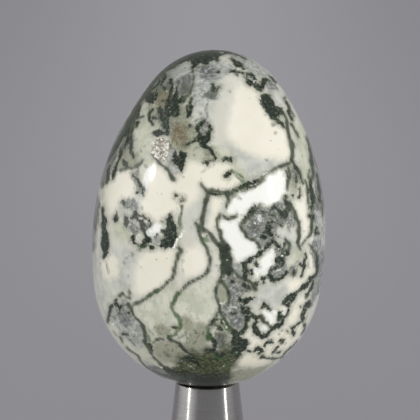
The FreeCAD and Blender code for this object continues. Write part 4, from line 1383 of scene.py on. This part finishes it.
def rubber_finish(stand):
    """Moulded rubber with a dusty bloom and a fine grain."""
    rubber = Finish("black_rubber")
    bloom = rubber.noise(1.2, 4, 0.6, 0.8)
    grain = rubber.noise(14.0, 3, 0.6)
    colour = rubber.mix(rubber.step(bloom, 0.5, 0.75) * 0.5, stand.rubber, srgb(84, 84, 84))
    return rubber.surface(Base_Color=colour, Roughness=bloom * 0.25 + 0.42, Specular_IOR_Level=0.4,
                          Normal=rubber.bump(grain, 0.008 * MM))


def felt_finish(stand):
    """Pressed wool: fibres that run every way, some of them paler, in clumps."""
    felt = Finish("pressed_wool_felt")
    clumps = felt.noise(0.8, 4, 0.6)
    fibres = None
    for turn, stretch in FIBRE_SETS:
        place = felt.node("ShaderNodeMapping", {"vector_type": "TEXTURE"},
                          {"Vector": felt.place, "Rotation": (0, 0, turn),
                           "Scale": tuple(1 / part for part in stretch)})
        strand = felt.noise(1.0, 3, 0.6, 1.5, place=place)
        fibres = strand if fibres is None else fibres.maths("MAXIMUM", strand)
    colour = felt.mix(felt.step(clumps, 0.35, 0.7), shaded(stand.felt, 0.6),
                      stand.felt)
    colour = felt.mix(felt.step(fibres, 0.58, 0.72) * 0.6, colour, srgb(104, 110, 106))
    return felt.surface(Base_Color=colour, Roughness=0.95, Specular_IOR_Level=0.2, Sheen_Weight=0.3,
                        Normal=felt.bump(fibres + clumps * 0.5, 0.06 * MM))


class STONEEGG_OT_column(bpy.types.Operator):
    """Turns the tapered column with its flange, lip and mouth"""

    bl_idname = "stone_egg.column"
    bl_label = "Column"

    def execute(self, context):
        stand = context.scene.stone_stand
        at = StandLevels(stand)
        tapped = at.screw_radius + TAPPED_GAP
        tapped_top = at.screw_tip + TAPPED_SPARE
        piece = turned("turned_column", [
            (0, tapped_top + tapped / math.tan(DRILL_POINT), 0),
            (tapped, tapped_top, 0),
            (tapped, at.foot + TAPPED_CHAMFER, 0),
            (tapped + TAPPED_CHAMFER, at.foot, 0),
            (at.flange_radius - FLANGE_CHAMFER, at.foot, 0),
            (at.flange_radius, at.foot + FLANGE_CHAMFER, 0),
            (at.flange_radius, at.foot + at.flange_thickness, FLANGE_ROUNDING),
            (at.taper_foot, at.foot + at.flange_thickness, at.flare_radius),
            (at.lip_radius, at.lip, LIP_ROUNDING),
            (at.mouth_radius, at.lip, MOUTH_ROUNDING),
            (at.mouth_radius, at.mouth_floor, 0),
            (CENTRE_MARK_RADIUS, at.mouth_floor, 0),
            (0, at.mouth_floor - CENTRE_MARK_DEPTH, 0),
        ], longest=2.0)
        piece.data.materials.append(turned_metal("column_steel", stand.steel, 0.26, 0.0016))
        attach(piece, "stand")
        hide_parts("column")
        return {"FINISHED"}


class STONEEGG_OT_plate(bpy.types.Operator):
    """Turns the round base plate, with its register, finishing groove, bore and felt recess"""

    bl_idname = "stone_egg.plate"
    bl_label = "Base plate"

    def execute(self, context):
        stand = context.scene.stone_stand
        at = StandLevels(stand)
        hole = at.screw_radius + HOLE_GAP
        bore = at.head_radius + BORE_GAP
        register = at.flange_radius + FIT_GAP
        recess = at.plate_radius - at.rim_width
        groove = (register + at.plate_radius) / 2 - GROOVE_INWARD
        groove_floor = at.plate_top - GROOVE_DEPTH
        piece = turned("turned_plate", [
            (hole, at.foot - HOLE_CHAMFER, 0),
            (hole + HOLE_CHAMFER, at.foot, 0),
            (register, at.foot, 0),
            (register, at.plate_top - REGISTER_CHAMFER, 0),
            (register + REGISTER_CHAMFER, at.plate_top, 0),
            (groove - GROOVE_HALF_WIDTH, at.plate_top, FINE_ROUNDING),
            (groove - GROOVE_HALF_FLOOR, groove_floor, FINE_ROUNDING),
            (groove + GROOVE_HALF_FLOOR, groove_floor, FINE_ROUNDING),
            (groove + GROOVE_HALF_WIDTH, at.plate_top, FINE_ROUNDING),
            (at.plate_radius, at.plate_top, PLATE_TOP_ROUNDING),
            (at.plate_radius, at.plate_bottom, PLATE_BOTTOM_ROUNDING),
            (recess, at.plate_bottom, FINE_ROUNDING),
            (recess, at.felt_thickness, 0),
            (bore, at.felt_thickness, BORE_ROUNDING),
            (bore, at.screw_seat, 0),
            (hole, at.screw_seat, 0),
        ], closed=True, steps=192, longest=2.0)
        piece.data.materials.append(turned_metal("plate_steel", stand.steel, 0.32, 0.0022, 12.0))
        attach(piece, "stand")
        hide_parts("base_plate")
        return {"FINISHED"}


class STONEEGG_OT_ring(bpy.types.Operator):
    """Turns the soft ring in the column's mouth, with the fine seam that its mould leaves"""

    bl_idname = "stone_egg.ring"
    bl_label = "Seat ring"

    def execute(self, context):
        stand = context.scene.stone_stand
        at = StandLevels(stand)
        half = at.ring_section / 2
        middle = at.mouth_radius - FIT_GAP - half
        corners = []
        for part in range(RING_PARTS):
            angle = part * math.tau / RING_PARTS
            seam = part % (RING_PARTS // 2) == 0
            reach = half if seam else half - SEAM_HEIGHT
            corners.append((middle + reach * math.cos(angle), at.ring_level + reach * math.sin(angle), 0))
        piece = turned("black_ring", corners, closed=True, steps=128)
        bpy.ops.object.shade_smooth()
        piece.data.materials.append(rubber_finish(stand))
        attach(piece, "seat")
        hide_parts("seat_ring")
        return {"FINISHED"}


class STONEEGG_OT_felt(bpy.types.Operator):
    """Adds the felt disc under the plate, pressed a little uneven"""

    bl_idname = "stone_egg.felt"
    bl_label = "Felt disc"

    def execute(self, context):
        stand = context.scene.stone_stand
        at = StandLevels(stand)
        edge = at.plate_radius - at.rim_width - FELT_GAP
        piece = turned("felt_disc", [
            (0, at.felt_thickness, 0),
            (edge, at.felt_thickness, FINE_ROUNDING),
            (edge, 0, FELT_ROUNDING),
            (0, 0, 0),
        ], steps=180, longest=0.4)
        inwards = [-vertex.normal for vertex in piece.data.vertices]
        for vertex, way in zip(piece.data.vertices, inwards):
            place = vertex.co * PER_MM * FELT_LUMPS_PER_MM
            lumps = noise.turbulence(place, 3, False, noise_basis="PERLIN_ORIGINAL")
            vertex.co += way * FELT_UNEVEN * abs(lumps)
        bpy.ops.object.shade_smooth()
        piece.data.materials.append(felt_finish(stand))
        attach(piece, "stand")
        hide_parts("felt_pad")
        return {"FINISHED"}


class STONEEGG_OT_fasteners(bpy.types.Operator):
    """Turns the base screw, cuts its thread and socket, and finishes the spring washer"""

    bl_idname = "stone_egg.fasteners"
    bl_label = "Screw and washer"

    def execute(self, context):
        stand = context.scene.stone_stand
        at = StandLevels(stand)
        head_bottom = at.head_top - at.head_height
        piece = turned("threaded_screw", [
            (0, at.screw_tip, 0),
            (at.screw_radius - SCREW_CHAMFER, at.screw_tip, 0),
            (at.screw_radius, at.screw_tip - SCREW_CHAMFER, 0),
            (at.screw_radius, at.head_top, 0),
            (at.head_radius, at.head_top, HEAD_ROUNDINGS[0]),
            (at.head_radius, head_bottom, HEAD_ROUNDINGS[1]),
            (0, head_bottom, 0),
        ], steps=60, longest=at.thread_pitch / 12)
        self.cut_thread(piece, at)
        self.cut_socket(piece, head_bottom)
        piece.data.materials.append(plated_metal("zinc_plate", stand.zinc, 0.24, 3.0))
        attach(piece, "stand")
        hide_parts("base_screw")
        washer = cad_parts["spring_washer"]
        washer.data.materials.clear()
        washer.data.materials.append(plated_metal("spring_steel", stand.spring, 0.3, 5.0))
        return {"FINISHED"}

    def cut_thread(self, piece, at):
        """Sinks a helical groove into the shank, fading out towards the head and the tip."""
        depth = THREAD_DEPTH * at.thread_pitch
        for vertex in piece.data.vertices:
            height = vertex.co.z * PER_MM
            radius = math.hypot(vertex.co.x, vertex.co.y) * PER_MM
            above = height - at.head_top
            if above < SCREW_NECK or radius < at.screw_radius - THREAD_REACH:
                continue
            turn = (height / at.thread_pitch - math.atan2(vertex.co.y, vertex.co.x) / math.tau) % 1
            from_crest = 1 - THREAD_CREST - abs(turn - 0.5) * 2
            groove = min(1, max(0, from_crest / (1 - THREAD_CREST - THREAD_ROOT)))
            fade = min(1, (above - SCREW_NECK) / at.thread_pitch)
            sunk = min(radius, at.screw_radius - depth * groove * fade)
            vertex.co.x *= sunk / radius
            vertex.co.y *= sunk / radius

    def cut_socket(self, piece, head_bottom):
        """Cuts the hexagonal socket into the underside of the head."""
        clear_selection()
        bpy.ops.mesh.primitive_cylinder_add(
            vertices=6, radius=SOCKET_ACROSS * MM / math.sqrt(3), depth=2 * SOCKET_DEPTH * MM,
            location=(0, 0, head_bottom * MM), rotation=(0, 0, math.pi / 6))
        cutter = bpy.context.object
        clear_selection()
        bpy.context.view_layer.objects.active = piece
        piece.select_set(True)
        cut = piece.modifiers.new("socket", "BOOLEAN")
        cut.object = cutter
        cut.operation = "DIFFERENCE"
        cut.solver = "EXACT"
        bpy.ops.object.modifier_apply(modifier=cut.name)
        bpy.data.objects.remove(cutter)
        bpy.ops.object.shade_smooth_by_angle(angle=SHARP_ANGLE)


class STONEEGG_OT_stage(bpy.types.Operator):
    """Adds the floor, the lamps, the world and the camera of the front view"""

    bl_idname = "stone_egg.stage"
    bl_label = "Stage"

    def execute(self, context):
        stage = context.scene.stone_stage
        clear_selection()
        bpy.ops.mesh.primitive_plane_add(size=12)
        floor = context.object
        floor.name = "floor"
        plain = Finish("floor")
        rays = plain.node("ShaderNodeLightPath", out="Is Camera Ray")
        seen = rays + rays.beside("Is Glossy Ray") + rays.beside("Is Transmission Ray")
        across = plain.node("ShaderNodeSeparateXYZ", None, [plain.place])
        spot = plain.step(across.maths("ABSOLUTE"), SPOT_HALF_WIDTH, 0)
        spot = spot * plain.step(across.beside("Y"), *SPOT_FADE)
        glow = plain.mix(spot, stage.floor_glow, stage.floor_spot)
        glow = plain.mix(seen, stage.floor_light, glow)
        floor.data.materials.append(
            plain.surface(Base_Color=(*stage.floor, 1), Roughness=0.9, Specular_IOR_Level=0.0,
                          Emission_Strength=1.0, Emission_Color=glow))
        middle = Vector(EggShape(context.scene.stone_egg).middle)
        powers = (stage.left_power, stage.right_power, stage.top_power)
        for (name, place), power in zip(LAMPS.items(), powers):
            self.lamp(name, middle, power, *place)
        self.world(stage)
        self.camera(middle)
        context.scene.view_settings.view_transform = "Standard"
        return {"FINISHED"}

    def world(self, stage):
        """Even light from all round, with soft panels: some that gloss mirrors, some that light."""
        bpy.context.scene.world = bpy.data.worlds.new("studio")
        studio = Finish("studio", bpy.context.scene.world)
        shade = (*stage.world_tone, 1)
        plain = studio.node("ShaderNodeBackground", None,
                            [shade, self.brightened(studio, stage.world, LIGHTING_PANELS)])
        panels = studio.node("ShaderNodeBackground", None,
                             [shade, self.brightened(studio, stage.world, MIRRORED_PANELS)])
        mirrored = studio.node("ShaderNodeLightPath", out="Is Glossy Ray")
        shader = studio.node("ShaderNodeMixShader", None, [mirrored, plain, panels])
        studio.end(shader, "ShaderNodeOutputWorld")

    def brightened(self, studio, strength, panels):
        """The world's strength with soft panels added to it or, where the gain is below 0, taken off."""
        for azimuth, nearest, gain in panels:
            turn = math.radians(azimuth)
            towards = studio.node("ShaderNodeVectorMath", {"operation": "DOT_PRODUCT"},
                                  [studio.place, (math.sin(turn), -math.cos(turn), 0)], "Value")
            strength = studio.step(towards, nearest, 1) * gain + strength
        return strength

    def lamp(self, name, middle, power, azimuth, elevation, away, width, height):
        turn, rise = math.radians(azimuth), math.radians(elevation)
        back = Vector((math.sin(turn) * math.cos(rise), -math.cos(turn) * math.cos(rise), math.sin(rise)))
        data = bpy.data.lights.new(name, "AREA")
        data.energy = power
        data.shape = "ELLIPSE"
        data.size, data.size_y = width, height
        data.color = (1, 0.99, 0.96)
        lamp = bpy.data.objects.new(name, data)
        bpy.context.scene.collection.objects.link(lamp)
        lamp.location = middle + back * away
        lamp.rotation_euler = (-back).to_track_quat("-Z", "Y").to_euler()
        lamp.visible_camera = False

    def camera(self, middle):
        data = bpy.data.cameras.new("front_view")
        camera = bpy.data.objects.new("front_view", data)
        bpy.context.scene.collection.objects.link(camera)
        data.sensor_width = SENSOR * PER_MM
        data.lens = SENSOR * PER_MM * LENS_PX / PICTURE_PX
        data.clip_end = 20
        camera.location = FrontView(np.array(middle)).eye
        half = PICTURE_PX / 2
        pitch = math.atan((EGG_MIDDLE_PX[1] - half) / LENS_PX)
        yaw = math.atan((EGG_MIDDLE_PX[0] - half) / LENS_PX)
        camera.rotation_euler = (math.pi / 2 - VIEW_ELEVATION + pitch, 0, yaw)
        bpy.context.scene.camera = camera


SETTINGS = {"stone_egg": EggSettings, "stone_stand": StandSettings, "stone_stage": StageSettings}
OPERATORS = (STONEEGG_OT_egg, STONEEGG_OT_crystals, STONEEGG_OT_column, STONEEGG_OT_plate, STONEEGG_OT_ring,
             STONEEGG_OT_felt, STONEEGG_OT_fasteners, STONEEGG_OT_stage)


class STONEEGG_PT_pieces(bpy.types.Panel):
    """Lists the operators that make the egg, its stand and the stage"""

    bl_idname = "STONEEGG_PT_pieces"
    bl_label = "Stone Egg"
    bl_space_type = "VIEW_3D"
    bl_region_type = "UI"
    bl_category = "Stone Egg"

    def draw(self, context):
        for operator in OPERATORS:
            self.layout.operator(operator.bl_idname)
        for name in SETTINGS:
            group = getattr(context.scene, name)
            box = self.layout.box()
            for key in group.__annotations__:
                box.prop(group, key)


CLASSES = (*SETTINGS.values(), *OPERATORS, STONEEGG_PT_pieces)


def register():
    for each in CLASSES:
        bpy.utils.register_class(each)
    for name, group in SETTINGS.items():
        setattr(bpy.types.Scene, name, bpy.props.PointerProperty(type=group))


def unregister():
    for name in SETTINGS:
        delattr(bpy.types.Scene, name)
    for each in reversed(CLASSES):
        bpy.utils.unregister_class(each)


def main():
    register()
    bpy.ops.stone_egg.egg()
    bpy.ops.stone_egg.crystals()
    bpy.ops.stone_egg.column()
    bpy.ops.stone_egg.plate()
    bpy.ops.stone_egg.ring()
    bpy.ops.stone_egg.felt()
    bpy.ops.stone_egg.fasteners()
    bpy.ops.stone_egg.stage()


if __name__ == "__main__":
    main()
